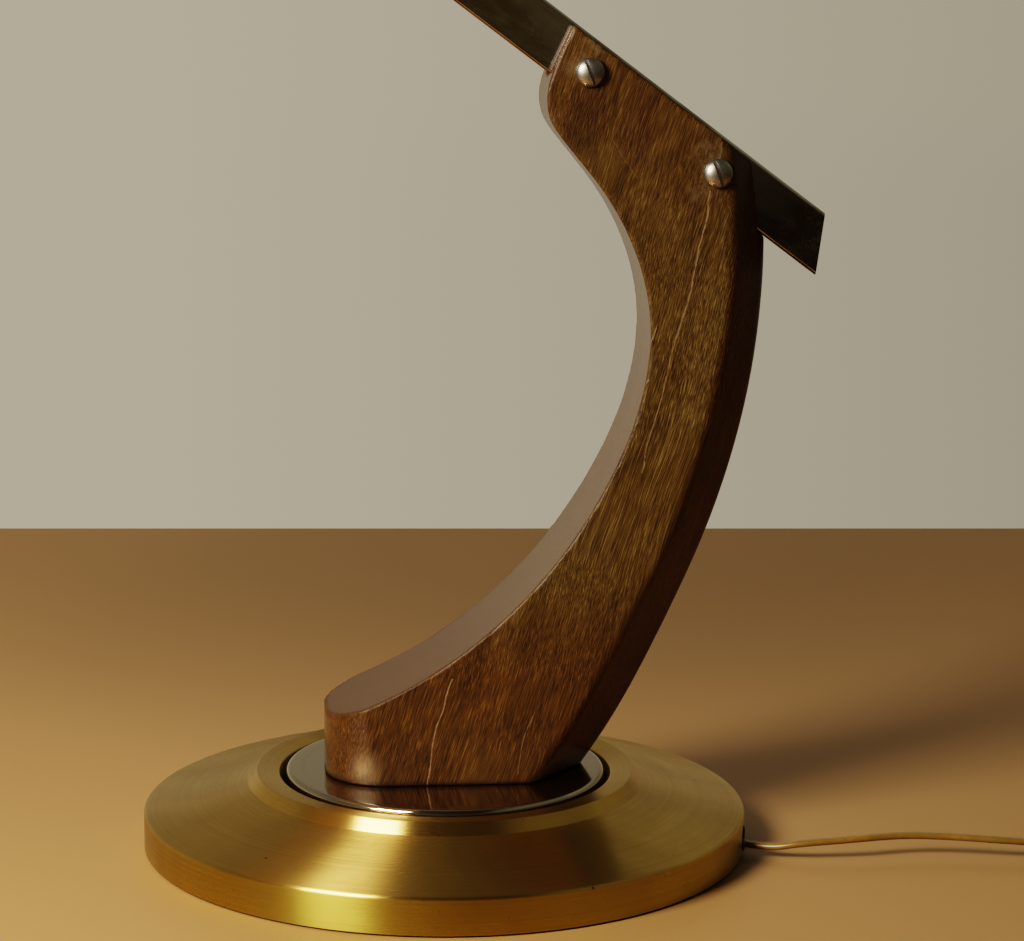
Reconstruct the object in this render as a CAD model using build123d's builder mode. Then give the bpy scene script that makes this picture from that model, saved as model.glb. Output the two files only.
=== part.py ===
from build123d import *
import os
from math import sin, cos, tan, atan2, radians, degrees, hypot, pi, sqrt

# Desk lamp with a turning base, a curved wooden stem, a slanted metal arm and a
# tilting shade. Millimetres, +Z up. The origin is the middle of the base's
# underside, on the surface that the lamp stands on. The stem's foot is in the
# middle, its back bulges towards +X, and the arm rises towards -X to the shade.

# ---------------------------------------------------------------- base sizes
BASE_R = 112.5          # outer radius of the base cover's rim
COVER_T = 1.5           # spun sheet thickness
CREASE_R = 111.0        # edge between rim and cone
CREASE_Z = 14.6
CONE_SLOPE = 0.25       # rise of the cone per millimetre inwards
RING_FOOT_R = 73.8      # where the cone meets the raised ring
RING_FOOT_Z = 23.9
RING_TOP_R = 70.4
RING_TOP_Z = 28.3
LIP_R = 61.9            # inner wall of the turned-in lip
LIP_Z = 27.5
COLLAR_Z = 21.0         # lower end of the turned-in lip
FELT_T = 1.5
PLATE_T = 1.5
PLATE_R = 107.0
PLATE_TOP = FELT_T + PLATE_T
BALLAST_R = 97.0
HUB_TOP = 23.4
RECESS_R = 20.0
RECESS_TOP = 17.0
FLEX_AZ = -14.0         # azimuth of the flex hole in the rim
FLEX_D = 3.8            # round envelope of the flat twin flex
LEAD_D = 3.6
HOLE_Z = 6.1            # middle of the upright oval hole
HOLE_W = 6.4
HOLE_H = 9.4

# ----------------------------------------------------------- turntable sizes
DISC_R = 59.7
DISC_TOP = 29.0
DISC_T = 4.0
TUBE_R = 7.0            # pivot tube
TUBE_BORE = 4.5
RUN = 0.05              # radial running clearance
STOP_R = 45.0           # radius of the turning stop's pins

# ---------------------------------------------------------------- stem sizes
FOOT_W = 57.0           # thickness across Y at the foot
TOP_W = 27.2            # thickness at 286 mm above the foot
NOSE_X = -45.0
INNER = [               # inner (hollow) edge of the stem, X and Z
    (-52.0, 50.9), (-45.0, 52.8), (-31.9, 57.5), (-19.3, 63.2), (-7.2, 69.9),
    (4.3, 77.6), (15.2, 86.2), (25.3, 95.6), (34.7, 105.8), (43.3, 116.7),
    (51.0, 128.2), (57.8, 140.2), (63.7, 152.7), (68.4, 165.7), (71.5, 179.2),
    (72.8, 193.0), (71.7, 206.8), (68.3, 220.2), (62.9, 232.9), (55.8, 244.8),
    (47.6, 255.4), (42.0, 262.2), (38.2, 267.2), (35.9, 271.6), (34.9, 277.0),
    (35.4, 283.2), (37.5, 289.4), (40.8, 296.6), (44.5, 304.4),
]
OUTER = [               # height and X of the back's crest
    (29.0, 50.9), (45.0, 61.6), (66.0, 73.2), (90.0, 84.8), (115.0, 95.7), (145.0, 105.8),
    (175.0, 112.6), (205.0, 116.1), (228.0, 116.6), (250.0, 114.6), (275.0, 109.5), (312.0, 99.0),
]
BACK_DEG = 49.0         # how far the back's two slopes turn away from the sides
ARRIS_R = 8.0           # rounding between a side and a slope
CREST = 0.4             # crest radius over half the thickness

# ----------------------------------------------------------------- arm sizes
ARM_DEG = 36.63         # slope of the arm below the horizontal, towards +X
ARM_W = 12.0
ARM_H = 20.0
ARM_WALL = 1.5
ARM_X0, ARM_Z0 = 80.0, 267.2    # a point on the arm's centre line
ARM_LOW_BOTTOM = -76.2  # slanted lower end, along the arm, at its underside
ARM_LOW_TOP = -65.1     # and at its upper side
ARM_TOP_S = 332.0       # upper end of the tube, along the arm
PIVOT_S = 349.0         # tilt axis, along the arm
SLOT_GAP = 0.1
WOOD_TOP_H = 8.7        # the wood's upper edge, measured off the arm's centre line
SCREWS = [(50.0, 288.0), (96.5, 252.1)]     # X and Z of the two fork screws
SCREW_HEAD_R = 5.25
HEAD_H = 4.7            # raised heads: an upright wall, then a dome
HEAD_WALL = 1.8
SHANK_R = 2.5

# ---------------------------------------------------------------- head sizes
SHADE_R = 150.0
SHADE_T = 1.2
SHADE_RIM_Z = 327.0
SHADE_LIP_Z = 335.0
SHADE_TOP_Z = 432.6
EYE_R = 7.5
EYE_W = 5.0
EAR_GAP = 6.0

os.makedirs("parts", exist_ok=True)


def write(node, name):
    node.part.label = name
    export_step(node.part, "parts/" + name + ".step")


def at_azimuth(radius, degrees_, z):
    a = radians(degrees_)
    return (radius * cos(a), radius * sin(a), z)


def nearest(shapes, *points):
    """The shapes whose centres lie nearest to the given points."""
    return [min(shapes, key=lambda s: (s.center() - Vector(*p)).length) for p in points]


def route_radii(points):
    """An arc for every corner: 0.45 of the shorter run over tan(half the turn)."""
    radii = []
    for a, b, c in zip(points, points[1:], points[2:]):
        u, v = Vector(*b) - Vector(*a), Vector(*c) - Vector(*b)
        turn = radians(u.get_angle(v))
        radii.append(0.45 * min(u.length, v.length) / tan(turn / 2))
    return radii


def tube_check(title, tube, line, diameter):
    """Print a swept tube's length and its volume over section times length."""
    length = sum(e.length for e in line.line.edges())
    print(title, "length", round(length, 1), "volume over section x length",
          round(tube.part.volume / (pi * (diameter / 2) ** 2 * length), 4))


# unit vectors of the arm in the XZ plane: up along it, and square to it
AU = (-cos(radians(ARM_DEG)), sin(radians(ARM_DEG)))
AN = (sin(radians(ARM_DEG)), cos(radians(ARM_DEG)))


def arm_xz(s, h):
    return (ARM_X0 + AU[0] * s + AN[0] * h, ARM_Z0 + AU[1] * s + AN[1] * h)


def arm_point(s, h, y=0.0):
    x, z = arm_xz(s, h)
    return (x, y, z)


def half_width(z):
    return (FOOT_W + (TOP_W - FOOT_W) * (z - DISC_TOP) / 286.0) / 2


PIVOT_X, PIVOT_Z = arm_xz(PIVOT_S, 0.0)
HX = PIVOT_X            # the shade's axis is straight below the tilt axis

# ================================================================ base body
# Base cover: spun shell. Rim, shallow cone, raised ring and a lip turned down
# inside the ring.
inner_cone = COVER_T / cos(atan2(CONE_SLOPE, 1))
with BuildPart() as base_cover:
    with BuildSketch(Plane.XZ) as cover_profile:
        with BuildLine():
            Polyline(
                (BASE_R, 0.6),
                (BASE_R, CREASE_Z - CONE_SLOPE * (BASE_R - CREASE_R)),
                (RING_FOOT_R, RING_FOOT_Z),
                (RING_TOP_R, RING_TOP_Z),
                (LIP_R, LIP_Z),
                (LIP_R, COLLAR_Z),
                (LIP_R + COVER_T, COLLAR_Z),
                (LIP_R + COVER_T, 26.14),
                (69.71, 26.73),
                (72.93, 22.57),
                (BASE_R - COVER_T, CREASE_Z - inner_cone),
                (BASE_R - COVER_T, 0.6),
                close=True,
            )
        make_face()
        for (r_, z_), fr in (((BASE_R, 14.2), 1.6), ((RING_FOOT_R, RING_FOOT_Z), 0.7),
                             ((RING_TOP_R, RING_TOP_Z), 0.6), ((LIP_R, LIP_Z), 0.7)):
            fillet(nearest(cover_profile.vertices(), (r_, z_, 0)), fr)
    revolve(axis=Axis.Z)
    # upright oval hole in the rim for the flex
    with BuildSketch(Plane(origin=at_azimuth(105.0, FLEX_AZ, HOLE_Z),
                           x_dir=(-sin(radians(FLEX_AZ)), cos(radians(FLEX_AZ)), 0),
                           z_dir=at_azimuth(1, FLEX_AZ, 0))):
        SlotOverall(HOLE_H, HOLE_W, rotation=90)
    extrude(amount=12, mode=Mode.SUBTRACT)
write(base_cover, "base_cover")

# Notch under the rim, where the flex comes in above the bottom plate.
notch_plane = Plane(origin=at_azimuth(104.0, FLEX_AZ, 0),
                    x_dir=at_azimuth(1, FLEX_AZ, 0), z_dir=(0, 0, 1))

with BuildPart() as felt_pad:
    with BuildSketch():
        Circle(106.0)
    extrude(amount=FELT_T)
    with BuildSketch(notch_plane):
        SlotOverall(30, 9)
    extrude(amount=FELT_T, mode=Mode.SUBTRACT)
write(felt_pad, "felt_pad")

SCREW_AZ = (46.0, 166.0, 286.0)
LUG_R = 103.5
with BuildPart() as base_plate:
    with BuildSketch(Plane.XY.offset(FELT_T)):
        Circle(PLATE_R)
    extrude(amount=PLATE_T)
    with BuildSketch(notch_plane.offset(FELT_T)):
        SlotOverall(30, 9)
    extrude(amount=PLATE_T, mode=Mode.SUBTRACT)
    with Locations(*[at_azimuth(LUG_R, a, FELT_T) for a in SCREW_AZ],
                   *[at_azimuth(70.0, a, FELT_T) for a in SCREW_AZ]):
        Cone(3.9, 2.0, PLATE_T, align=(Align.CENTER, Align.CENTER, Align.MIN), mode=Mode.SUBTRACT)
write(base_plate, "base_plate")

# Lugs: small steel blocks brazed inside the rim, tapped for the outer screws.
with BuildPart() as rim_lugs:
    with BuildSketch(Plane.XY.offset(PLATE_TOP)):
        Circle(BASE_R - COVER_T)
        Circle(98.5, mode=Mode.SUBTRACT)
    extrude(amount=7.0)
    with BuildSketch(Plane.XY.offset(PLATE_TOP)):
        with Locations(*[Location(at_azimuth(LUG_R, a, 0), (0, 0, a)) for a in SCREW_AZ]):
            Rectangle(24, 12)
    extrude(amount=7.0, mode=Mode.INTERSECT)
    with Locations(*[at_azimuth(LUG_R, a, PLATE_TOP) for a in SCREW_AZ]):
        Cylinder(2.0, 6.0, align=(Align.CENTER, Align.CENTER, Align.MIN), mode=Mode.SUBTRACT)
write(rim_lugs, "rim_lugs")

with BuildPart() as base_screws:
    for r_, top in ((LUG_R, 8.0), (70.0, 12.0)):
        with Locations(*[at_azimuth(r_, a, FELT_T) for a in SCREW_AZ]):
            Cone(3.9, 2.0, PLATE_T, align=(Align.CENTER, Align.CENTER, Align.MIN))
        with Locations(*[at_azimuth(r_, a, FELT_T) for a in SCREW_AZ]):
            Cylinder(2.0, top - FELT_T, align=(Align.CENTER, Align.CENTER, Align.MIN))
    with Locations(*[at_azimuth(r_, a, FELT_T) for a in SCREW_AZ for r_ in (LUG_R, 70.0)]):
        Box(5.0, 0.9, 0.6, align=(Align.CENTER, Align.CENTER, Align.MIN), mode=Mode.SUBTRACT)
write(base_screws, "base_screws")

# Ballast: cast ring with a hub, a recess for the pivot nut below, a channel for
# the lead, and a round groove on top in which the turning stop's pin runs.
channel_plane = Plane(origin=at_azimuth(58.0, FLEX_AZ, PLATE_TOP),
                      x_dir=at_azimuth(1, FLEX_AZ, 0), z_dir=(0, 0, 1))
with BuildPart() as ballast:
    with BuildSketch(Plane.XZ):
        with BuildLine():
            Polyline(
                (11.0, RECESS_TOP), (RECESS_R, RECESS_TOP), (RECESS_R, PLATE_TOP),
                (BALLAST_R, PLATE_TOP), (BALLAST_R, 15.5), (75.0, COLLAR_Z),
                (57.0, COLLAR_Z), (57.0, HUB_TOP), (49.0, HUB_TOP), (49.0, 19.4),
                (41.0, 19.4), (41.0, HUB_TOP), (11.0, HUB_TOP), close=True,
            )
        make_face()
    revolve(axis=Axis.Z)
    with BuildSketch(channel_plane):
        Rectangle(90, 8.4)
    extrude(amount=6.6, mode=Mode.SUBTRACT)
    with Locations(*[at_azimuth(70.0, a, PLATE_TOP) for a in SCREW_AZ]):
        Cylinder(2.0, 9.0, align=(Align.CENTER, Align.CENTER, Align.MIN), mode=Mode.SUBTRACT)
    with Locations((STOP_R, 0, 13.0)):
        Cylinder(2.5, 7.0, align=(Align.CENTER, Align.CENTER, Align.MIN), mode=Mode.SUBTRACT)
write(ballast, "ballast")

with BuildPart() as base_stop_pin:
    with Locations((STOP_R, 0, 13.0)):
        Cylinder(2.5, 10.0, align=(Align.CENTER, Align.CENTER, Align.MIN))
    chamfer(base_stop_pin.edges().group_by(Axis.Z)[-1], 0.4)
write(base_stop_pin, "base_stop_pin")

# Pivot bush: flanged, in the ballast's hub. The pivot tube turns in it.
with BuildPart() as pivot_bush:
    with BuildSketch(Plane.XZ):
        with BuildLine():
            Polyline(
                (TUBE_R + RUN, RECESS_TOP), (11.0, RECESS_TOP), (11.0, HUB_TOP),
                (16.0, HUB_TOP), (16.0, 24.2), (TUBE_R + RUN, 24.2), close=True,
            )
        make_face()
    revolve(axis=Axis.Z)
write(pivot_bush, "pivot_bush")

with BuildPart() as thrust_washer:
    with BuildSketch(Plane.XY.offset(24.2)):
        Circle(16.0)
        Circle(TUBE_R + 0.4, mode=Mode.SUBTRACT)
    extrude(amount=0.75)
write(thrust_washer, "thrust_washer")

# Grommet: thin rubber lining of the oval hole, with a small flange inside.
grommet_plane = Plane(origin=at_azimuth(108.2, FLEX_AZ, HOLE_Z),
                      x_dir=(-sin(radians(FLEX_AZ)), cos(radians(FLEX_AZ)), 0),
                      z_dir=at_azimuth(1, FLEX_AZ, 0))
with BuildPart() as flex_grommet:
    with BuildSketch(grommet_plane):
        SlotOverall(HOLE_H + 1.2, HOLE_W + 1.2, rotation=90)
    extrude(amount=2.6)
    with BuildSketch(grommet_plane):
        SlotOverall(HOLE_H, HOLE_W, rotation=90)
    extrude(amount=4.6)
    with BuildSketch(grommet_plane.offset(-1)):
        SlotOverall(HOLE_H - 1.6, HOLE_W - 1.6, rotation=90)
    extrude(amount=8, mode=Mode.SUBTRACT)
write(flex_grommet, "flex_grommet")

# Leads and flex. Runs joined by tangent arcs.
EXIT_R = 113.3
EXIT_Z = 4.1
INSIDE = [at_azimuth(EXIT_R, FLEX_AZ, EXIT_Z), at_azimuth(100.0, FLEX_AZ, EXIT_Z + 0.3),
          at_azimuth(86.0, FLEX_AZ, 6.3), at_azimuth(0.0, FLEX_AZ, 6.3), (0, 0, 15.9)]
INSIDE_R = [40.0, 40.0, 8.0]
with BuildPart() as base_lead:
    with BuildLine() as path:
        FilletPolyline(*INSIDE, radius=INSIDE_R)
    with BuildSketch(Plane(origin=INSIDE[0], z_dir=Vector(*INSIDE[1]) - Vector(*INSIDE[0]))):
        Circle(LEAD_D / 2)
    sweep(path=path.line)
tube_check("base lead", base_lead, path, LEAD_D)
write(base_lead, "base_lead")

# Clamp: a split block screwed up into the channel, gripping the lead.
with BuildPart() as flex_clamp:
    with BuildSketch(Plane(origin=at_azimuth(60.0, FLEX_AZ, PLATE_TOP + 0.1),
                           x_dir=at_azimuth(1, FLEX_AZ, 0), z_dir=(0, 0, 1))):
        Rectangle(14, 8.2)
    extrude(amount=6.3)
    with BuildSketch(Plane(origin=at_azimuth(50.0, FLEX_AZ, 6.3), z_dir=at_azimuth(1, FLEX_AZ, 0))):
        Circle(LEAD_D / 2)
    extrude(amount=20, mode=Mode.SUBTRACT)
write(flex_clamp, "flex_clamp")

# Free flex. It is stiff, so it leaves the hole low, springs up off the surface and
# comes down again further to +X, where its spare length lies in a round coil with
# the plug beside it.
FLEX = [
    at_azimuth(EXIT_R, FLEX_AZ, EXIT_Z), (118.5, -32.6, 3.8), (129.0, -36.4, 6.5),
    (146.2, -37.0, 7.6), (159.1, -34.6, 7.8), (171.8, -33.4, 7.8), (190.0, -36.6, 7.5),
    (202.0, -39.9, 7.2), (211.9, -41.2, 6.8), (228.0, -39.6, 4.2), (242.0, -34.4, 2.1),
    (252.0, -29.4, 1.9),
]
COIL_X, COIL_Y = 259.0, -4.0
COIL_MID = 21.0
COIL_WIDE = 3 * FLEX_D + 0.2    # three turns beside each other
COIL_HIGH = 4 * FLEX_D          # and four layers
with BuildPart() as flex_coil:
    with BuildSketch(Plane.XZ):
        with Locations((COIL_MID, COIL_HIGH / 2)):
            RectangleRounded(COIL_WIDE, COIL_HIGH, 1.8)
    revolve(axis=Axis.Z)
flex_coil.part = flex_coil.part.moved(Location((COIL_X, COIL_Y, 0)))
write(flex_coil, "flex_coil")

flex_radii = route_radii(FLEX)
print("flex radii", [round(r, 1) for r in flex_radii])
with BuildPart() as flex:
    with BuildLine() as path:
        FilletPolyline(*FLEX, radius=flex_radii)
    with BuildSketch(Plane(origin=FLEX[0], z_dir=Vector(*FLEX[1]) - Vector(*FLEX[0]))):
        Circle(FLEX_D / 2)
    sweep(path=path.line)
tube_check("flex", flex, path, FLEX_D)
with flex:
    add(flex_coil.part, mode=Mode.SUBTRACT)
write(flex, "flex")

PLUG_Z = 6.9
PLUG_Y = 20.0
TAIL_X = COIL_X + COIL_MID + FLEX_D

# Plug: flat two-pin body that narrows to its sleeve, and two round pins.
with BuildPart() as plug_body:
    for y_, w_, t_ in ((PLUG_Y, 10.0, 8.0), (PLUG_Y + 14.0, 20.0, 12.5),
                       (PLUG_Y + 26.0, 32.0, 13.6), (PLUG_Y + 36.0, 34.5, 13.7)):
        with BuildSketch(Plane(origin=(TAIL_X, y_, PLUG_Z), x_dir=(1, 0, 0), z_dir=(0, 1, 0))):
            RectangleRounded(w_, t_, 0.42 * t_)
    loft()
write(plug_body, "plug_body")

# Tail: from the coil's top outer turn down to the plug's sleeve.
TAIL = [(TAIL_X, COIL_Y + 1.0, COIL_HIGH - 1.9), (TAIL_X, COIL_Y + 8.0, COIL_HIGH - 2.6),
        (TAIL_X + 0.3, COIL_Y + 15.5, PLUG_Z + 1.6), (TAIL_X, PLUG_Y, PLUG_Z)]
tail_radii = route_radii(TAIL)
print("tail radii", [round(r, 1) for r in tail_radii])
with BuildPart() as flex_tail:
    with BuildLine() as path:
        FilletPolyline(*TAIL, radius=tail_radii)
    with BuildSketch(Plane(origin=TAIL[0], z_dir=Vector(*TAIL[1]) - Vector(*TAIL[0]))):
        Circle(FLEX_D / 2)
    sweep(path=path.line)
tube_check("flex tail", flex_tail, path, FLEX_D)
with flex_tail:
    add(flex_coil.part, mode=Mode.SUBTRACT)
    add(plug_body.part, mode=Mode.SUBTRACT)
write(flex_tail, "flex_tail")

with BuildPart() as plug_pins:
    with Locations(Plane(origin=(TAIL_X - 9.3, PLUG_Y + 36.0, PLUG_Z), z_dir=(0, 1, 0)),
                   Plane(origin=(TAIL_X + 9.3, PLUG_Y + 36.0, PLUG_Z), z_dir=(0, 1, 0))):
        Cylinder(2.0, 19.0, align=(Align.CENTER, Align.CENTER, Align.MIN))
    fillet(plug_pins.edges().group_by(Axis.Y)[-1], 1.2)
write(plug_pins, "plug_pins")

# ================================================================ stem body
# Turntable disc: flat top, rounded outer edge.
STEM_SCREWS = ((-30.0, 0.0), (24.0, 16.0), (24.0, -16.0))
with BuildPart() as turntable_disc:
    with BuildSketch(Plane.XY.offset(DISC_TOP - DISC_T)):
        Circle(DISC_R)
        Circle(TUBE_R, mode=Mode.SUBTRACT)
    extrude(amount=DISC_T)
    rim_edges = turntable_disc.edges().filter_by(GeomType.CIRCLE).filter_by(
        lambda e: e.radius > 50).sort_by(Axis.Z)
    fillet(rim_edges[-1], 2.5)
    with Locations(*[(x, y, DISC_TOP - DISC_T) for x, y in STEM_SCREWS]):
        Cone(4.6, 2.5, 2.4, align=(Align.CENTER, Align.CENTER, Align.MIN), mode=Mode.SUBTRACT)
        Cylinder(2.5, 6, align=(Align.CENTER, Align.CENTER, Align.MIN), mode=Mode.SUBTRACT)
    with Locations((-STOP_R, 0, DISC_TOP - DISC_T)):
        Cylinder(2.5, 2.5, align=(Align.CENTER, Align.CENTER, Align.MIN), mode=Mode.SUBTRACT)
write(turntable_disc, "turntable_disc")

with BuildPart() as disc_stop_pin:
    with Locations((-STOP_R, 0, 20.0)):
        Cylinder(2.5, DISC_TOP - DISC_T + 2.5 - 20.0, align=(Align.CENTER, Align.CENTER, Align.MIN))
    chamfer(disc_stop_pin.edges().group_by(Axis.Z)[0], 0.4)
write(disc_stop_pin, "disc_stop_pin")

TUBE_LOW, TUBE_HIGH = 9.5, 38.0
with BuildPart() as pivot_tube:
    with BuildSketch(Plane.XY.offset(TUBE_LOW)):
        Circle(TUBE_R)
        Circle(TUBE_BORE, mode=Mode.SUBTRACT)
    extrude(amount=TUBE_HIGH - TUBE_LOW)
write(pivot_tube, "pivot_tube")

with BuildPart() as pivot_nut:
    with BuildSketch(Plane.XY.offset(10.9)):
        RegularPolygon(13.8, 6)
        Circle(TUBE_R, mode=Mode.SUBTRACT)
    extrude(amount=4.5)
    with BuildSketch(Plane.XY.offset(10.9)):
        Circle(13.2)
    extrude(amount=4.5, taper=-20, mode=Mode.INTERSECT)
write(pivot_nut, "pivot_nut")

with BuildPart() as spring_washer:
    with BuildSketch(Plane.XY.offset(15.4)):
        Circle(15.0)
        Circle(TUBE_R + 0.3, mode=Mode.SUBTRACT)
    extrude(amount=1.5)
write(spring_washer, "spring_washer")

with BuildPart() as stem_screws:
    with Locations(*[(x, y, DISC_TOP - DISC_T) for x, y in STEM_SCREWS]):
        Cone(4.6, 2.5, 2.4, align=(Align.CENTER, Align.CENTER, Align.MIN))
        Cylinder(2.5, 24, align=(Align.CENTER, Align.CENTER, Align.MIN))
        Box(7.0, 1.1, 0.8, align=(Align.CENTER, Align.CENTER, Align.MIN), mode=Mode.SUBTRACT)
write(stem_screws, "stem_screws")

# Stem. Its thickness narrows evenly from foot to top, its back has two broad
# slopes that meet in a round crest, its inner edge is crisp, and the nose of the
# foot is rounded in plan. A slot along the arm's slope splits its top into two cheeks.
CABLE = [(0, 0, 16.1), (0, 0, 43.0), (24.0, 0, 72.0), (54.0, 0, 104.0),
         (78.0, 0, 148.0), (88.0, 0, 196.0), (84.0, 0, 236.0),
         (84.0, 0, 269.9), arm_point(334.5, 4.6)]
CABLE_R = [30.0, 90.0, 90.0, 110.0, 110.0, 90.0, 9.0]
with BuildPart() as stem:
    sa, ca = sin(radians(BACK_DEG)), cos(radians(BACK_DEG))
    sh, ch = sin(radians(BACK_DEG / 2)), cos(radians(BACK_DEG / 2))
    ease = ARRIS_R * tan(radians(BACK_DEG / 2))
    for z_, xo in OUTER:
        hw = half_width(z_)
        cr = CREST * hw
        tx, ty = xo - cr + cr * sa, cr * ca         # where a slope runs into the crest
        vx = tx - (hw - ty) * ca / sa               # where it would meet the flat side
        ax = vx - ease
        mx, my = ax + ARRIS_R * sh, hw - ARRIS_R + ARRIS_R * ch
        ex, ey = vx + ease * ca, hw - ease * sa
        with BuildSketch(Plane.XY.offset(z_)):
            with BuildLine():
                Line((-60.0, hw), (-60.0, -hw))
                Line((-60.0, -hw), (ax, -hw))
                ThreePointArc((ax, -hw), (mx, -my), (ex, -ey))
                Line((ex, -ey), (tx, -ty))
                ThreePointArc((tx, -ty), (xo, 0), (tx, ty))
                Line((tx, ty), (ex, ey))
                ThreePointArc((ex, ey), (mx, my), (ax, hw))
                Line((ax, hw), (-60.0, hw))
            make_face()
    loft()
    # side view: inner edge, upper edge beside the arm, free of the rounded back
    with BuildSketch(Plane.XZ):
        with BuildLine():
            inner = Spline(*INNER)
            corner_x = 117.2
            top_h = WOOD_TOP_H / cos(radians(ARM_DEG))
            top_z = lambda x: ARM_Z0 - tan(radians(ARM_DEG)) * (x - ARM_X0) + top_h
            Line(INNER[-1], (INNER[-1][0] + 0.1, top_z(INNER[-1][0] + 0.1)))
            FilletPolyline((INNER[-1][0] + 0.1, top_z(INNER[-1][0] + 0.1)),
                           (corner_x, top_z(corner_x)), (corner_x, 20.0), radius=11)
            Polyline((corner_x, 20.0), (-52.0, 20.0), INNER[0])
        make_face()
    extrude(amount=60, both=True, mode=Mode.INTERSECT)
    # plan of the foot: blunt nose with round corners
    with BuildSketch(Plane.XY.offset(DISC_TOP)) as foot_plan:
        with BuildLine():
            Polyline((NOSE_X + 0.5, 28.6), (150.0, 28.6), (150.0, -28.6), (NOSE_X + 0.5, -28.6))
            ThreePointArc((NOSE_X + 0.5, -28.6), (NOSE_X, 0), (NOSE_X + 0.5, 28.6))
        make_face()
        fillet(nearest(foot_plan.vertices(), (NOSE_X + 0.5, 28.6, 0), (NOSE_X + 0.5, -28.6, 0)), 22.0)
    extrude(amount=300, mode=Mode.INTERSECT)
    # slot for the arm
    slot_low = -ARM_H / 2 - 0.05
    with BuildSketch(Plane.XZ):
        with BuildLine():
            Polyline(arm_xz(-110, slot_low), arm_xz(90, slot_low), arm_xz(90, 40), arm_xz(-110, 40), close=True)
        make_face()
    extrude(amount=ARM_W / 2 + SLOT_GAP, both=True, mode=Mode.SUBTRACT)
    # holes: pivot tube, cable way, foot screws, fork screws with spot faces
    with BuildSketch(Plane.XY.offset(DISC_TOP)):
        Circle(TUBE_R)
    extrude(amount=TUBE_HIGH - DISC_TOP, mode=Mode.SUBTRACT)
    with BuildLine() as way:
        FilletPolyline(*[(x, y, z) for x, y, z in [(0, 0, 30.0)] + CABLE[1:6] + [CABLE[6], (84.0, 0, 256.0)]],
                       radius=CABLE_R[:5] + [90.0])
    with BuildSketch(Plane.XY.offset(30.0)):
        Circle(4.0)
    sweep(path=way.line, mode=Mode.SUBTRACT)
    with Locations(*[(x, y, DISC_TOP) for x, y in STEM_SCREWS]):
        Cylinder(2.5, 20.0, align=(Align.CENTER, Align.CENTER, Align.MIN), mode=Mode.SUBTRACT)
    for x_, z_ in SCREWS:
        face_y = half_width(z_) - 0.35
        with Locations(Plane(origin=(x_, 40, z_), z_dir=(0, -1, 0))):
            Cylinder(2.6, 80, align=(Align.CENTER, Align.CENTER, Align.MIN), mode=Mode.SUBTRACT)
        with Locations(Plane(origin=(x_, -face_y, z_), z_dir=(0, -1, 0)),
                       Plane(origin=(x_, face_y, z_), z_dir=(0, 1, 0))):
            Cylinder(SCREW_HEAD_R + 0.15, 6, align=(Align.CENTER, Align.CENTER, Align.MIN), mode=Mode.SUBTRACT)
        with Locations(Plane(origin=(x_, face_y + 1, z_), z_dir=(0, -1, 0))):
            Cylinder(3.6, face_y + 1 - 5.0, align=(Align.CENTER, Align.CENTER, Align.MIN), mode=Mode.SUBTRACT)
write(stem, "stem")

# Arm: rectangular tube with rounded corners, lower end cut at a slant.
arm_low_plane = Plane(origin=arm_point(-90.0, 0), x_dir=(0, 1, 0), z_dir=(AU[0], 0, AU[1]))
with BuildPart() as arm:
    with BuildSketch(arm_low_plane):
        RectangleRounded(ARM_W, ARM_H, 1.2)
        RectangleRounded(ARM_W - 2 * ARM_WALL, ARM_H - 2 * ARM_WALL, 0.7, mode=Mode.SUBTRACT)
    extrude(amount=ARM_TOP_S + 90.0)
    with BuildSketch(Plane.XZ):
        with BuildLine():
            Polyline(arm_xz(ARM_LOW_BOTTOM - 0.555 * 5, -15), arm_xz(ARM_LOW_TOP + 0.555 * 5, 15),
                     arm_xz(-120, 15), arm_xz(-120, -15), close=True)
        make_face()
    extrude(amount=20, both=True, mode=Mode.SUBTRACT)
    for x_, z_ in SCREWS:
        with Locations(Plane(origin=(x_, 10, z_), z_dir=(0, -1, 0))):
            Cylinder(2.6, 20, align=(Align.CENTER, Align.CENTER, Align.MIN), mode=Mode.SUBTRACT)
    with Locations((84.0, 0, 248.0)):
        Cylinder(4.0, 10, align=(Align.CENTER, Align.CENTER, Align.MIN), mode=Mode.SUBTRACT)
write(arm, "arm")

# End plug: closes the slanted lower end, just inside the tube.
with BuildPart() as arm_end_plug:
    with BuildSketch(arm_low_plane):
        RectangleRounded(ARM_W - 2 * ARM_WALL, ARM_H - 2 * ARM_WALL, 0.7)
    extrude(amount=60.0)
    with BuildSketch(Plane.XZ):
        with BuildLine():
            k = (ARM_LOW_TOP - ARM_LOW_BOTTOM) / ARM_H
            mid = (ARM_LOW_TOP + ARM_LOW_BOTTOM) / 2
            Polyline(arm_xz(mid + 0.6 - 15 * k, -15), arm_xz(mid + 0.6 + 15 * k, 15),
                     arm_xz(mid + 6.6 + 15 * k, 15), arm_xz(mid + 6.6 - 15 * k, -15), close=True)
        make_face()
    extrude(amount=20, both=True, mode=Mode.INTERSECT)
write(arm_end_plug, "arm_end_plug")

# Fork screws: domed slotted heads on the near side, shanks right through.
SLOT_LEAN = (22.5, 20.5)    # lean of each slot from upright, its top towards -X


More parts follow.
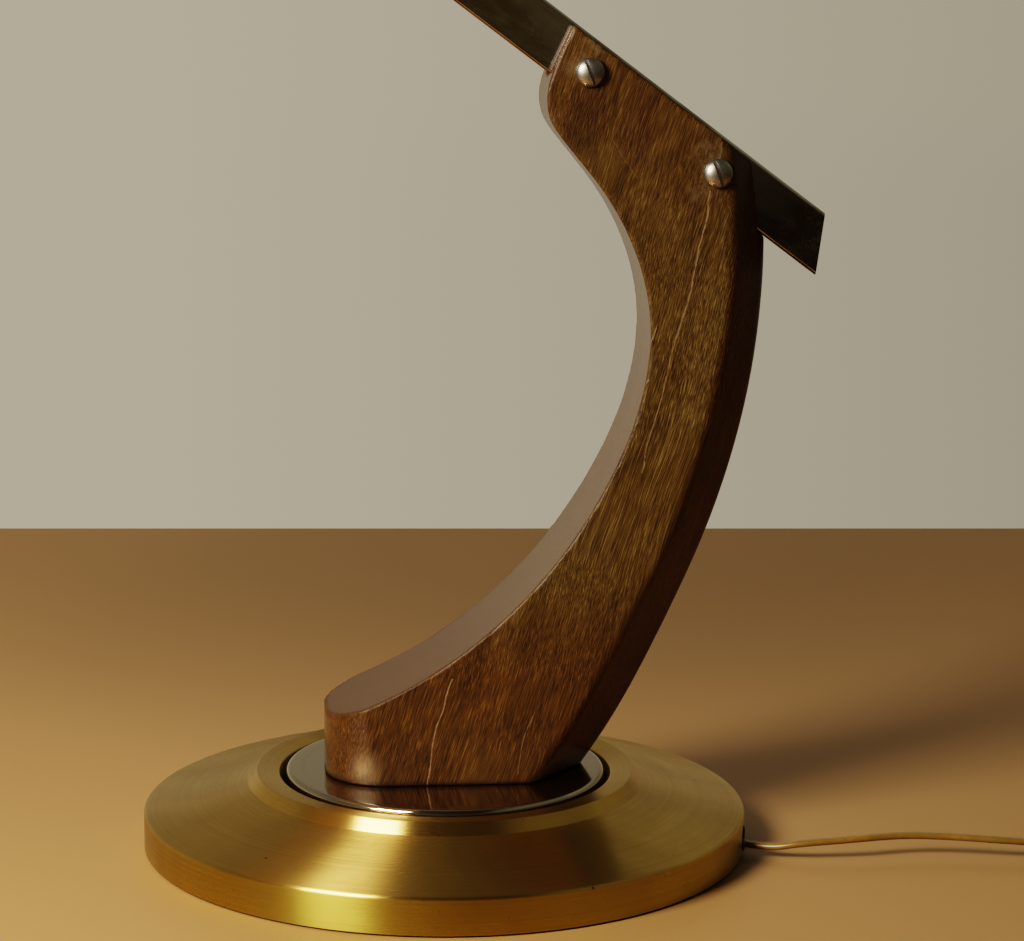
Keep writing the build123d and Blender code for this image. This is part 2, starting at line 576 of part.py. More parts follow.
with BuildPart() as arm_screws:
    for (x_, z_), lean in zip(SCREWS, SLOT_LEAN):
        y_ = -(half_width(z_) - 0.35)
        head = Plane(origin=(x_, y_, z_), x_dir=(1, 0, 0), z_dir=(0, -1, 0))
        with BuildSketch(Plane(origin=(x_, y_, z_), x_dir=(1, 0, 0), z_dir=(0, 0, 1))):
            with BuildLine():
                Line((0, 0), (SCREW_HEAD_R, 0))
                Line((SCREW_HEAD_R, 0), (SCREW_HEAD_R, -HEAD_WALL))
                ThreePointArc((SCREW_HEAD_R, -HEAD_WALL), (3.5, -HEAD_WALL - 2.1), (0, -HEAD_H))
                Line((0, -HEAD_H), (0, 0))
            make_face()
        revolve(axis=Axis((x_, y_, z_), (0, 1, 0)))
        with Locations(Plane(origin=(x_, y_, z_), z_dir=(0, 1, 0))):
            Cylinder(SHANK_R, -2 * y_ - 2.0, align=(Align.CENTER, Align.CENTER, Align.MIN))
        with BuildSketch(head.offset(HEAD_H - 1.8)):
            Rectangle(14, 1.25, rotation=90 + lean)
        extrude(amount=4, mode=Mode.SUBTRACT)
write(arm_screws, "arm_screws")

# Sleeve nuts on the far side, with the same domed heads.
with BuildPart() as sleeve_nuts:
    for (x_, z_), lean in zip(SCREWS, SLOT_LEAN):
        y_ = half_width(z_) - 0.35
        with BuildSketch(Plane(origin=(x_, y_, z_), x_dir=(1, 0, 0), z_dir=(0, 0, 1))):
            with BuildLine():
                Line((0, 0), (SCREW_HEAD_R, 0))
                Line((SCREW_HEAD_R, 0), (SCREW_HEAD_R, HEAD_WALL))
                ThreePointArc((SCREW_HEAD_R, HEAD_WALL), (3.5, HEAD_WALL + 2.1), (0, HEAD_H))
                Line((0, HEAD_H), (0, 0))
            make_face()
        revolve(axis=Axis((x_, y_, z_), (0, 1, 0)))
        with Locations(Plane(origin=(x_, y_, z_), z_dir=(0, -1, 0))):
            Cylinder(3.5, y_ - 6.3, align=(Align.CENTER, Align.CENTER, Align.MIN))
            Cylinder(SHANK_R, y_ - 0.5, align=(Align.CENTER, Align.CENTER, Align.MIN), mode=Mode.SUBTRACT)
        with BuildSketch(Plane(origin=(x_, y_ + HEAD_H - 1.8, z_), x_dir=(1, 0, 0), z_dir=(0, 1, 0))):
            Rectangle(14, 1.25, rotation=70 + lean)
        extrude(amount=4, mode=Mode.SUBTRACT)
write(sleeve_nuts, "sleeve_nuts")

# Lead through the pivot tube, the bored stem and the arm.
with BuildPart() as stem_lead:
    with BuildLine() as path:
        FilletPolyline(*CABLE, radius=CABLE_R)
    with BuildSketch(Plane.XY.offset(CABLE[0][2])):
        Circle(LEAD_D / 2)
    sweep(path=path.line)
tube_check("stem lead", stem_lead, path, LEAD_D)
write(stem_lead, "stem_lead")

# Fork at the arm's upper end: a plug in the tube, a shoulder and two ears.
EAR_R = 9.6
with BuildPart() as arm_fork:
    with BuildSketch(Plane(origin=arm_point(ARM_TOP_S - 20, 0), x_dir=(0, 1, 0), z_dir=(AU[0], 0, AU[1]))):
        RectangleRounded(ARM_W - 2 * ARM_WALL, ARM_H - 2 * ARM_WALL, 0.7)
    extrude(amount=20.0)
    with BuildSketch(Plane.XZ):
        with BuildLine():
            Polyline(arm_xz(PIVOT_S, -EAR_R), arm_xz(ARM_TOP_S, -ARM_H / 2), arm_xz(ARM_TOP_S, ARM_H / 2),
                     arm_xz(PIVOT_S, EAR_R))
            ThreePointArc(arm_xz(PIVOT_S, EAR_R), arm_xz(PIVOT_S + EAR_R, 0), arm_xz(PIVOT_S, -EAR_R))
        make_face()
    extrude(amount=ARM_W / 2, both=True)
    with BuildSketch(Plane.XZ):
        with BuildLine():
            Polyline(arm_xz(ARM_TOP_S + 1.4, -15), arm_xz(ARM_TOP_S + 1.4, 15),
                     arm_xz(PIVOT_S + 15, 15), arm_xz(PIVOT_S + 15, -15), close=True)
        make_face()
    extrude(amount=EAR_GAP / 2, both=True, mode=Mode.SUBTRACT)
    with Locations(Plane(origin=(PIVOT_X, 10, PIVOT_Z), z_dir=(0, -1, 0))):
        Cylinder(2.5, 20, align=(Align.CENTER, Align.CENTER, Align.MIN), mode=Mode.SUBTRACT)
    with Locations(Plane(origin=arm_point(ARM_TOP_S - 22, 4.6), z_dir=(AU[0], 0, AU[1]))):
        Cylinder(2.2, 30, align=(Align.CENTER, Align.CENTER, Align.MIN), mode=Mode.SUBTRACT)
write(arm_fork, "arm_fork")

# Tilt bolt with a domed slotted head, and its slotted cap nut.
with BuildPart() as tilt_bolt:
    y_ = -ARM_W / 2
    with BuildSketch(Plane(origin=(PIVOT_X, y_, PIVOT_Z), x_dir=(1, 0, 0), z_dir=(0, 0, 1))):
        with BuildLine():
            Line((0, 0), (6.0, 0))
            Line((6.0, 0), (6.0, -0.9))
            ThreePointArc((6.0, -0.9), (3.8, -2.7), (0, -3.4))
            Line((0, -3.4), (0, 0))
        make_face()
    revolve(axis=Axis((PIVOT_X, y_, PIVOT_Z), (0, 1, 0)))
    with Locations(Plane(origin=(PIVOT_X, y_, PIVOT_Z), z_dir=(0, 1, 0))):
        Cylinder(2.5, ARM_W + 5.0, align=(Align.CENTER, Align.CENTER, Align.MIN))
    with BuildSketch(Plane(origin=(PIVOT_X, y_ - 2.0, PIVOT_Z), x_dir=(1, 0, 0), z_dir=(0, -1, 0))):
        Rectangle(14, 1.2, rotation=35)
    extrude(amount=4, mode=Mode.SUBTRACT)
write(tilt_bolt, "tilt_bolt")

with BuildPart() as tilt_cap_nut:
    y_ = ARM_W / 2
    with BuildSketch(Plane(origin=(PIVOT_X, y_, PIVOT_Z), x_dir=(1, 0, 0), z_dir=(0, 0, 1))):
        with BuildLine():
            Polyline((0, 5.0), (2.5, 5.0), (2.5, 0), (6.0, 0), (6.0, 2.6))
            ThreePointArc((6.0, 2.6), (4.2, 6.3), (0, 7.8))
            Line((0, 7.8), (0, 5.0))
        make_face()
    revolve(axis=Axis((PIVOT_X, y_, PIVOT_Z), (0, 1, 0)))
    with BuildSketch(Plane(origin=(PIVOT_X, y_ + 6.2, PIVOT_Z), x_dir=(1, 0, 0), z_dir=(0, 1, 0))):
        Rectangle(14, 1.2, rotation=35)
    extrude(amount=4, mode=Mode.SUBTRACT)
write(tilt_cap_nut, "tilt_cap_nut")

# ================================================================ head body
# Tongue: eye on the tilt bolt, flat bar, and a round boss below.
BOSS_TOP, BOSS_LOW = PIVOT_Z - 22.0, PIVOT_Z - 30.0
with BuildPart() as tilt_tongue:
    with BuildSketch(Plane.XZ):
        with Locations((PIVOT_X, PIVOT_Z)):
            Circle(EYE_R)
        with Locations((PIVOT_X, PIVOT_Z - 12.0)):
            Rectangle(10.0, 24.0)
    extrude(amount=EYE_W / 2, both=True)
    with Locations((HX, 0, BOSS_LOW)):
        Cylinder(8.0, BOSS_TOP - BOSS_LOW, align=(Align.CENTER, Align.CENTER, Align.MIN))
    fillet(tilt_tongue.edges().filter_by(GeomType.CIRCLE).filter_by(
        lambda e: abs(e.radius - 8.0) < 0.01 and abs(e.center().Z - BOSS_TOP) < 0.2), 1.2)
    with Locations(Plane(origin=(PIVOT_X, 10, PIVOT_Z), z_dir=(0, -1, 0))):
        Cylinder(2.5 + RUN, 20, align=(Align.CENTER, Align.CENTER, Align.MIN), mode=Mode.SUBTRACT)
    with Locations((HX, 0, BOSS_LOW)):
        Cylinder(5.0, 5.5, align=(Align.CENTER, Align.CENTER, Align.MIN), mode=Mode.SUBTRACT)
write(tilt_tongue, "tilt_tongue")

with BuildPart() as friction_washers:
    for side in (1, -1):
        with BuildSketch(Plane(origin=(PIVOT_X, side * EYE_W / 2, PIVOT_Z), x_dir=(1, 0, 0), z_dir=(0, side, 0))):
            Circle(7.0)
            Circle(2.5 + 0.2, mode=Mode.SUBTRACT)
        extrude(amount=0.42)
write(friction_washers, "friction_washers")

NECK_LOW = 403.0
with BuildPart() as neck_tube:
    with BuildSketch(Plane.XY.offset(NECK_LOW)):
        with Locations((HX, 0)):
            Circle(5.0)
            Circle(3.2, mode=Mode.SUBTRACT)
    extrude(amount=BOSS_LOW + 5.5 - NECK_LOW)
write(neck_tube, "neck_tube")

CAP_TOP = 441.0
with BuildPart() as neck_collar:
    with BuildSketch(Plane.XY.offset(CAP_TOP)):
        with Locations((HX, 0)):
            Circle(6.8)
            Circle(5.0, mode=Mode.SUBTRACT)
    extrude(amount=BOSS_LOW - CAP_TOP)
write(neck_collar, "neck_collar")

# Shade: spun dome with a short upright rim and a flat seat round the neck.
def dome(r_):
    """A point of the dome's outside, and its outward slope direction there."""
    z_ = SHADE_LIP_Z + 101.0 * (1 - (r_ / SHADE_R) ** 1.6)
    fall = 101.0 * 1.6 / SHADE_R * (r_ / SHADE_R) ** 0.6
    return (r_, z_), (fall / hypot(fall, 1), 1 / hypot(fall, 1))


DOME_RADII = (26, 40, 60, 80, 100, 120, 136)
DOME_OUT = [dome(r_)[0] for r_ in DOME_RADII]
DOME_IN = [(dome(r_)[0][0] - SHADE_T * dome(r_)[1][0], dome(r_)[0][1] - SHADE_T * dome(r_)[1][1])
           for r_ in DOME_RADII]
SW_R = 62.0             # radius of the switch in the dome
SW_Z = dome(SW_R)[0][1]
SW_N = Vector(-dome(SW_R)[1][0], 0, dome(SW_R)[1][1])     # out of the dome, on its -X side
with BuildPart() as shade:
    with BuildSketch(Plane.XZ):
        with BuildLine():
            Spline((14.0, SHADE_TOP_Z), *DOME_OUT, (SHADE_R, SHADE_LIP_Z), tangents=[(1, 0), (0.68, -0.733)])
            Polyline((SHADE_R, SHADE_LIP_Z), (SHADE_R, SHADE_RIM_Z), (SHADE_R - SHADE_T, SHADE_RIM_Z),
                     (SHADE_R - SHADE_T, SHADE_LIP_Z - 0.47))
            Spline((SHADE_R - SHADE_T, SHADE_LIP_Z - 0.47), *DOME_IN[::-1], (14.0, SHADE_TOP_Z - SHADE_T),
                   tangents=[(-0.68, 0.733), (-1, 0)])
            Polyline((14.0, SHADE_TOP_Z - SHADE_T), (5.2, SHADE_TOP_Z - SHADE_T), (5.2, SHADE_TOP_Z),
                     (14.0, SHADE_TOP_Z))
        make_face()
    revolve(axis=Axis.Z)
    # vent slots round the top
    for i in range(16):
        with Locations(Location(at_azimuth(38.0, 22.5 * i + 11.25, 380.0), (0, 0, 22.5 * i + 11.25))):
            Box(12.0, 3.0, 80.0, align=(Align.CENTER, Align.CENTER, Align.MIN), mode=Mode.SUBTRACT)
    # holes for the diffuser ring's screws and for the switch
    for a_ in (90.0, 210.0, 330.0):
        with Locations(Plane(origin=at_azimuth(140.0, a_, 331.0), z_dir=at_azimuth(1, a_, 0))):
            Cylinder(1.5, 20, align=(Align.CENTER, Align.CENTER, Align.MIN), mode=Mode.SUBTRACT)
    with Locations(Plane(origin=Vector(-SW_R, 0, SW_Z) - 8 * SW_N, z_dir=SW_N)):
        Cylinder(4.6, 16, align=(Align.CENTER, Align.CENTER, Align.MIN), mode=Mode.SUBTRACT)
shade.part = shade.part.moved(Location((HX, 0, 0)))
write(shade, "shade")
print("switch at", round(HX - SW_R, 3), round(SW_Z, 3), "axis", round(SW_N.X, 5), round(SW_N.Z, 5))

# Cap on the shade's top, and the nut below the shade.
with BuildPart() as shade_cap:
    with BuildSketch(Plane.XZ):
        with BuildLine():
            Line((5.05, SHADE_TOP_Z), (13.5, SHADE_TOP_Z))
            Line((13.5, SHADE_TOP_Z), (13.5, SHADE_TOP_Z + 2.0))
            ThreePointArc((13.5, SHADE_TOP_Z + 2.0), (11.4, SHADE_TOP_Z + 6.2), (7.5, CAP_TOP))
            Line((7.5, CAP_TOP), (5.05, CAP_TOP))
            Line((5.05, CAP_TOP), (5.05, SHADE_TOP_Z))
        make_face()
    revolve(axis=Axis.Z)
shade_cap.part = shade_cap.part.moved(Location((HX, 0, 0)))
write(shade_cap, "shade_cap")

SN_TOP = SHADE_TOP_Z - SHADE_T
with BuildPart() as shade_nut:
    with BuildSketch(Plane.XY.offset(SN_TOP - 1.2)):
        with Locations((HX, 0)):
            Circle(11.0)
            Circle(5.0, mode=Mode.SUBTRACT)
    extrude(amount=1.2)
    with BuildSketch(Plane.XY.offset(SN_TOP - 5.2)):
        with Locations((HX, 0)):
            RegularPolygon(8.6, 6)
            Circle(5.0, mode=Mode.SUBTRACT)
    extrude(amount=4.0)
write(shade_nut, "shade_nut")

# Socket bridge: U-shaped strip held on the neck tube between two nuts.
BR_TOP, LEG_Y, LAMP_Z = 413.0, 13.5, 360.0
with BuildPart() as socket_bridge:
    with BuildSketch(Plane.YZ.offset(HX)):
        with BuildLine():
            Polyline((-LEG_Y, 345), (-LEG_Y, BR_TOP), (LEG_Y, BR_TOP), (LEG_Y, 345),
                     (LEG_Y - 1.5, 345), (LEG_Y - 1.5, BR_TOP - 1.5), (-LEG_Y + 1.5, BR_TOP - 1.5),
                     (-LEG_Y + 1.5, 345), close=True)
        make_face()
    extrude(amount=10, both=True)
    with Locations((HX, 0, BR_TOP - 2)):
        Cylinder(5.05, 3, align=(Align.CENTER, Align.CENTER, Align.MIN), mode=Mode.SUBTRACT)
    with Locations(Plane(origin=(HX, 20, LAMP_Z), z_dir=(0, -1, 0))):
        Cylinder(5.0, 40, align=(Align.CENTER, Align.CENTER, Align.MIN), mode=Mode.SUBTRACT)
write(socket_bridge, "socket_bridge")

with BuildPart() as bridge_nuts:
    for z_ in (BR_TOP, BR_TOP - 1.5 - 4.0):
        with BuildSketch(Plane.XY.offset(z_)):
            with Locations((HX, 0)):
                RegularPolygon(8.6, 6)
                Circle(5.0, mode=Mode.SUBTRACT)
        extrude(amount=4.0)
write(bridge_nuts, "bridge_nuts")

# Lampholders, one to each side, and the lamps in them.
HOLDER_END = 51.5
with BuildPart() as lampholders:
    for side in (1, -1):
        with BuildSketch(Plane(origin=(HX, 0, LAMP_Z), x_dir=(1, 0, 0), z_dir=(0, 0, 1))):
            with BuildLine():
                Polyline((0, side * 8.0), (5.0, side * 8.0), (5.0, side * LEG_Y), (13.0, side * LEG_Y),
                         (14.0, side * 18.0), (14.0, side * 44.0), (15.2, side * 45.0), (15.2, side * HOLDER_END),
                         (7.3, side * HOLDER_END), (7.3, side * 24.0), (0, side * 24.0), close=True)
            make_face()
        revolve(axis=Axis((HX, 0, LAMP_Z), (0, 1, 0)))
write(lampholders, "lampholders")

with BuildPart() as lamp_caps:
    for side in (1, -1):
        with BuildSketch(Plane(origin=(HX, 0, LAMP_Z), x_dir=(1, 0, 0), z_dir=(0, 0, 1))):
            with BuildLine():
                Polyline((0, side * 24.2), (3.0, side * 24.2), (6.9, side * 27.5), (6.9, side * 51.0),
                         (0, side * 51.0), close=True)
            make_face()
        revolve(axis=Axis((HX, 0, LAMP_Z), (0, 1, 0)))
write(lamp_caps, "lamp_caps")

GLASS_OUT = [(6.9, 51.0), (10.2, 58.0), (16.6, 65.5), (21.6, 75.5), (22.4, 84.0), (19.6, 94.5), (12.0, 102.4), (0, 105.8)]
GLASS_IN = [(5.9, 51.0), (9.3, 58.6), (15.8, 66.1), (20.6, 75.8), (21.4, 84.0), (18.8, 93.9), (11.5, 101.5), (0, 104.8)]
with BuildPart() as lamp_glass:
    for side in (1, -1):
        with BuildSketch(Plane(origin=(HX, 0, LAMP_Z), x_dir=(1, 0, 0), z_dir=(0, 0, 1))):
            with BuildLine():
                Line((5.9, side * 51.0), (6.9, side * 51.0))
                Spline(*[(r_, side * y_) for r_, y_ in GLASS_OUT], tangents=[(0.15, side * 1), (-1, 0)])
                Line((0, side * 105.8), (0, side * 104.8))
                Spline(*[(r_, side * y_) for r_, y_ in GLASS_IN], tangents=[(0.15, side * 1), (-1, 0)])
            make_face()
        revolve(axis=Axis((HX, 0, LAMP_Z), (0, 1, 0)))
write(lamp_glass, "lamp_glass")

with BuildPart() as terminal_block:
    with Locations((HX, 0, 384.0)):
        Box(12.0, 2 * LEG_Y - 3.0, 10.0, align=(Align.CENTER, Align.CENTER, Align.MIN))
    with Locations(*[(HX + x_, y_, 394.0) for x_ in (-3, 3) for y_ in (-6.5, 6.5)]):
        Cylinder(1.5, 6, align=(Align.CENTER, Align.CENTER, Align.MAX), mode=Mode.SUBTRACT)
write(terminal_block, "terminal_block")

with BuildPart() as head_lead:
    with Locations((HX, 0, 394.0)):
        Cylinder(LEAD_D / 2, BOSS_LOW + 5.0 - 394.0, align=(Align.CENTER, Align.CENTER, Align.MIN))
write(head_lead, "head_lead")

# Diffuser: opal disc on a ring that is held inside the rim by three screws.
with BuildPart() as diffuser_ring:
    with BuildSketch(Plane.XZ):
        with BuildLine():
            Polyline((141.0, 327.6), (148.6, 327.6), (148.6, 334.2), (147.4, 334.2), (147.4, 328.8),
                     (141.0, 328.8), close=True)
        make_face()
    revolve(axis=Axis.Z)
    for a_ in (90.0, 210.0, 330.0):
        with Locations(Plane(origin=at_azimuth(140.0, a_, 331.0), z_dir=at_azimuth(1, a_, 0))):
            Cylinder(1.5, 20, align=(Align.CENTER, Align.CENTER, Align.MIN), mode=Mode.SUBTRACT)
diffuser_ring.part = diffuser_ring.part.moved(Location((HX, 0, 0)))
write(diffuser_ring, "diffuser_ring")

with BuildPart() as diffuser:
    with BuildSketch(Plane.XY.offset(328.8)):
        with Locations((HX, 0)):
            Circle(145.6)
    extrude(amount=2.6)
write(diffuser, "diffuser")

with BuildPart() as ring_screws:
    for a_ in (90.0, 210.0, 330.0):
        with Locations(Plane(origin=at_azimuth(SHADE_R, a_, 331.0), z_dir=at_azimuth(1, a_, 0))):
            Cylinder(2.6, 1.0, align=(Align.CENTER, Align.CENTER, Align.MIN))
            with Locations((0, 0, 1.0)):
                Cone(2.6, 1.5, 0.7, align=(Align.CENTER, Align.CENTER, Align.MIN))
        with Locations(Plane(origin=at_azimuth(SHADE_R, a_, 331.0), z_dir=at_azimuth(-1, a_, 0))):
            Cylinder(1.5, 3.6, align=(Align.CENTER, Align.CENTER, Align.MIN))
        with Locations(Plane(origin=at_azimuth(SHADE_R + 1.65, a_, 331.0), z_dir=at_azimuth(-1, a_, 0))):
            Box(0.7, 5.4, 0.8, align=(Align.CENTER, Align.CENTER, Align.MIN), mode=Mode.SUBTRACT)
ring_screws.part = ring_screws.part.moved(Location((HX, 0, 0)))
write(ring_screws, "ring_screws")

# Push-button switch in the dome, on the side away from the stem.
SW_O = Vector(HX - SW_R, 0, SW_Z)
sw_plane = Plane(origin=SW_O, z_dir=SW_N, x_dir=(0, 1, 0))
with BuildPart() as switch_body:
    with BuildSketch(sw_plane.offset(-17.0)):
        Circle(7.0)
    extrude(amount=15.5)
    with BuildSketch(sw_plane.offset(-1.5)):
        Circle(4.5)
    extrude(amount=4.6)
    with BuildSketch(sw_plane.offset(-9.0)):
        Circle(3.0 + RUN)
    extrude(amount=14, mode=Mode.SUBTRACT)
write(switch_body, "switch_body")

with BuildPart() as switch_ring_nut:
    with BuildSketch(sw_plane.offset(0.05)):
        Circle(7.4)
        Circle(4.5, mode=Mode.SUBTRACT)
    extrude(amount=3.2)
    chamfer(switch_ring_nut.edges().filter_by(GeomType.CIRCLE).filter_by(lambda e: e.radius > 7).sort_by(
        SortBy.DISTANCE)[-1:], 0.5)
write(switch_ring_nut, "switch_ring_nut")

with BuildPart() as switch_button:
    with BuildSketch(sw_plane.offset(-5.5)):
        Circle(3.0)
    extrude(amount=13.3)
    fillet(switch_button.faces().sort_by(Axis(SW_O, SW_N))[-1].edges(), 1.0)
write(switch_button, "switch_button")

print("pivot", round(PIVOT_X, 3), round(PIVOT_Z, 3))
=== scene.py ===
import bmesh
import bpy
import math
import numpy as np
from mathutils import Matrix, Vector


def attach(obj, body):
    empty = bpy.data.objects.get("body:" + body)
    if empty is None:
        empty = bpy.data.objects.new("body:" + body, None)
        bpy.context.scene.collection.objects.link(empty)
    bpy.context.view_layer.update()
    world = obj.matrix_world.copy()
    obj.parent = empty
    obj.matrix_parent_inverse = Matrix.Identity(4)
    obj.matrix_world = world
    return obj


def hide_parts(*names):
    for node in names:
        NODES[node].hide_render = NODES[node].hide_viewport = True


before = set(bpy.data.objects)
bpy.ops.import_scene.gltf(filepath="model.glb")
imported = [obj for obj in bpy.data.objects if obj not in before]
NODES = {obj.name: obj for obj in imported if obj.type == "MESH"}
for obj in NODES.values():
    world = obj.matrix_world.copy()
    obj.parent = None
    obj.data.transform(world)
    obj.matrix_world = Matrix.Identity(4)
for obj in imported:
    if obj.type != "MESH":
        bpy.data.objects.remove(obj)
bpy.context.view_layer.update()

# Desk lamp: brass base, turning disc, curved wooden stem, slanted arm, shade.
# Everything is in metres in the row frame; sizes below are in millimetres and
# go through mm().

scene = bpy.context.scene


def mm(*v):
    return Vector([x * 0.001 for x in v])


# ------------------------------------------------------------------ camera
PITCH, ROLL, PSI = math.radians(10.6998), math.radians(0.39136), math.radians(5.49214)
forward = Vector((math.cos(PITCH) * math.sin(PSI), math.cos(PITCH) * math.cos(PSI), -math.sin(PITCH)))
right0 = Vector((math.cos(PSI), -math.sin(PSI), 0))
up0 = Vector((math.sin(PITCH) * math.sin(PSI), math.sin(PITCH) * math.cos(PSI), math.cos(PITCH)))
right = math.cos(ROLL) * right0 + math.sin(ROLL) * up0
up = -math.sin(ROLL) * right0 + math.cos(ROLL) * up0
cam_data = bpy.data.cameras.new("camera")
cam = bpy.data.objects.new("camera", cam_data)
scene.collection.objects.link(cam)
cam_data.sensor_width = 36.0
cam_data.lens = 3050.0 * 36.0 / 1024.0
cam_data.clip_start, cam_data.clip_end = 0.05, 60.0
m = Matrix((right, up, -forward)).transposed().to_4x4()
m.translation = mm(-81.49, -1102.32, 350.16)
cam.matrix_world = m
scene.camera = cam


# -------------------------------------------------------------- node helper
class Graph:
    """Short words for building a material's nodes."""

    def __init__(self, name, tree=None):
        if tree is not None:
            self.nt = tree
            tree.nodes.clear()
            return
        self.mat = bpy.data.materials.new(name)
        self.mat.use_nodes = True
        self.nt = self.mat.node_tree
        self.nt.nodes.clear()
        self.out = self.nt.nodes.new("ShaderNodeOutputMaterial")
        self.bsdf = self.nt.nodes.new("ShaderNodeBsdfPrincipled")
        self.nt.links.new(self.bsdf.outputs[0], self.out.inputs[0])

    def put(self, sock, v):
        if isinstance(v, bpy.types.NodeSocket):
            self.nt.links.new(v, sock)
        elif v is not None:
            if hasattr(sock, "default_value") and hasattr(sock.default_value, "__len__") and not isinstance(v, (int, float)):
                v = list(v)
                if len(sock.default_value) == 4 and len(v) == 3:
                    v = v + [1.0]
            sock.default_value = v

    def node(self, kind, inputs=None, **attrs):
        n = self.nt.nodes.new(kind)
        for k, v in attrs.items():
            setattr(n, k, v)
        for k, v in (inputs or {}).items():
            self.put(n.inputs[k], v)
        return n

    def math(self, op, a, b=None, c=None, clamp=False):
        n = self.node("ShaderNodeMath", operation=op, use_clamp=clamp)
        for i, v in enumerate((a, b, c)):
            if v is not None:
                self.put(n.inputs[i], v)
        return n.outputs[0]

    def vmath(self, op, a, b=None, scale=None):
        n = self.node("ShaderNodeVectorMath", operation=op)
        self.put(n.inputs[0], a)
        if b is not None:
            self.put(n.inputs[1], b)
        if scale is not None:
            self.put(n.inputs["Scale"], scale)
        return n.outputs["Value"] if op in ("LENGTH", "DOT_PRODUCT", "DISTANCE") else n.outputs[0]

    def coords(self, offset=(0, 0, 0)):
        """Object position in millimetres, less an offset."""
        t = self.node("ShaderNodeTexCoord").outputs["Object"]
        p = self.vmath("SCALE", t, scale=1000.0)
        return self.vmath("SUBTRACT", p, offset) if any(offset) else p

    def split(self, v):
        n = self.node("ShaderNodeSeparateXYZ", {0: v})
        return n.outputs[0], n.outputs[1], n.outputs[2]

    def join(self, x, y, z):
        return self.node("ShaderNodeCombineXYZ", {0: x, 1: y, 2: z}).outputs[0]

    def noise(self, v, scale=1.0, detail=2.0, rough=0.5, distort=0.0, kind="FBM", colour=False):
        n = self.node("ShaderNodeTexNoise", {"Vector": v, "Scale": scale, "Detail": detail, "Roughness": rough,
                                            "Distortion": distort}, noise_dimensions="3D")
        return n.outputs["Color" if colour else "Fac"]

    def voronoi(self, v, scale=1.0, feature="F1", rand=1.0, out="Distance"):
        n = self.node("ShaderNodeTexVoronoi", {"Vector": v, "Scale": scale, "Randomness": rand}, feature=feature)
        return n.outputs[out]

    def remap(self, v, a, b, c=0.0, d=1.0, smooth=False):
        n = self.node("ShaderNodeMapRange", {"Value": v, "From Min": a, "From Max": b, "To Min": c, "To Max": d},
                      clamp=True, interpolation_type="SMOOTHSTEP" if smooth else "LINEAR")
        return n.outputs[0]

    def ramp(self, v, stops, interp="LINEAR"):
        n = self.node("ShaderNodeValToRGB", {0: v})
        n.color_ramp.interpolation = interp
        el = n.color_ramp.elements
        while len(el) < len(stops):
            el.new(0.5)
        for e, (p, c) in zip(el, stops):
            e.position = p
            e.color = tuple(c) + (1.0,) if len(c) == 3 else tuple(c)
        return n.outputs[0]

    def mix(self, f, a, b, blend="MIX"):
        n = self.node("ShaderNodeMix", data_type="RGBA", blend_type=blend, clamp_factor=True)
        self.put(n.inputs[0], f)
        self.put(n.inputs[6], a)
        self.put(n.inputs[7], b)
        return n.outputs[2]

    def fmix(self, f, a, b):
        n = self.node("ShaderNodeMix", data_type="FLOAT", clamp_factor=True)
        self.put(n.inputs[0], f)
        self.put(n.inputs[2], a)
        self.put(n.inputs[3], b)
        return n.outputs[0]

    def bump(self, height, dist_mm, strength=1.0, normal=None):
        n = self.node("ShaderNodeBump", {"Height": height, "Strength": strength, "Distance": dist_mm * 0.001})
        if normal is not None:
            self.put(n.inputs["Normal"], normal)
        return n.outputs[0]

    def set(self, **kw):
        names = {"color": "Base Color", "rough": "Roughness", "metal": "Metallic", "normal": "Normal",
                 "aniso": "Anisotropic", "aniso_rot": "Anisotropic Rotation", "tangent": "Tangent",
                 "coat": "Coat Weight", "coat_rough": "Coat Roughness", "coat_normal": "Coat Normal",
                 "spec": "Specular IOR Level", "ior": "IOR", "trans": "Transmission Weight",
                 "sheen": "Sheen Weight", "sheen_rough": "Sheen Roughness", "sss": "Subsurface Weight",
                 "sss_r": "Subsurface Radius", "sss_s": "Subsurface Scale", "emit": "Emission Strength",
                 "emit_color": "Emission Color", "alpha": "Alpha"}
        for k, v in kw.items():
            self.put(self.bsdf.inputs[names[k]], v)
        return self


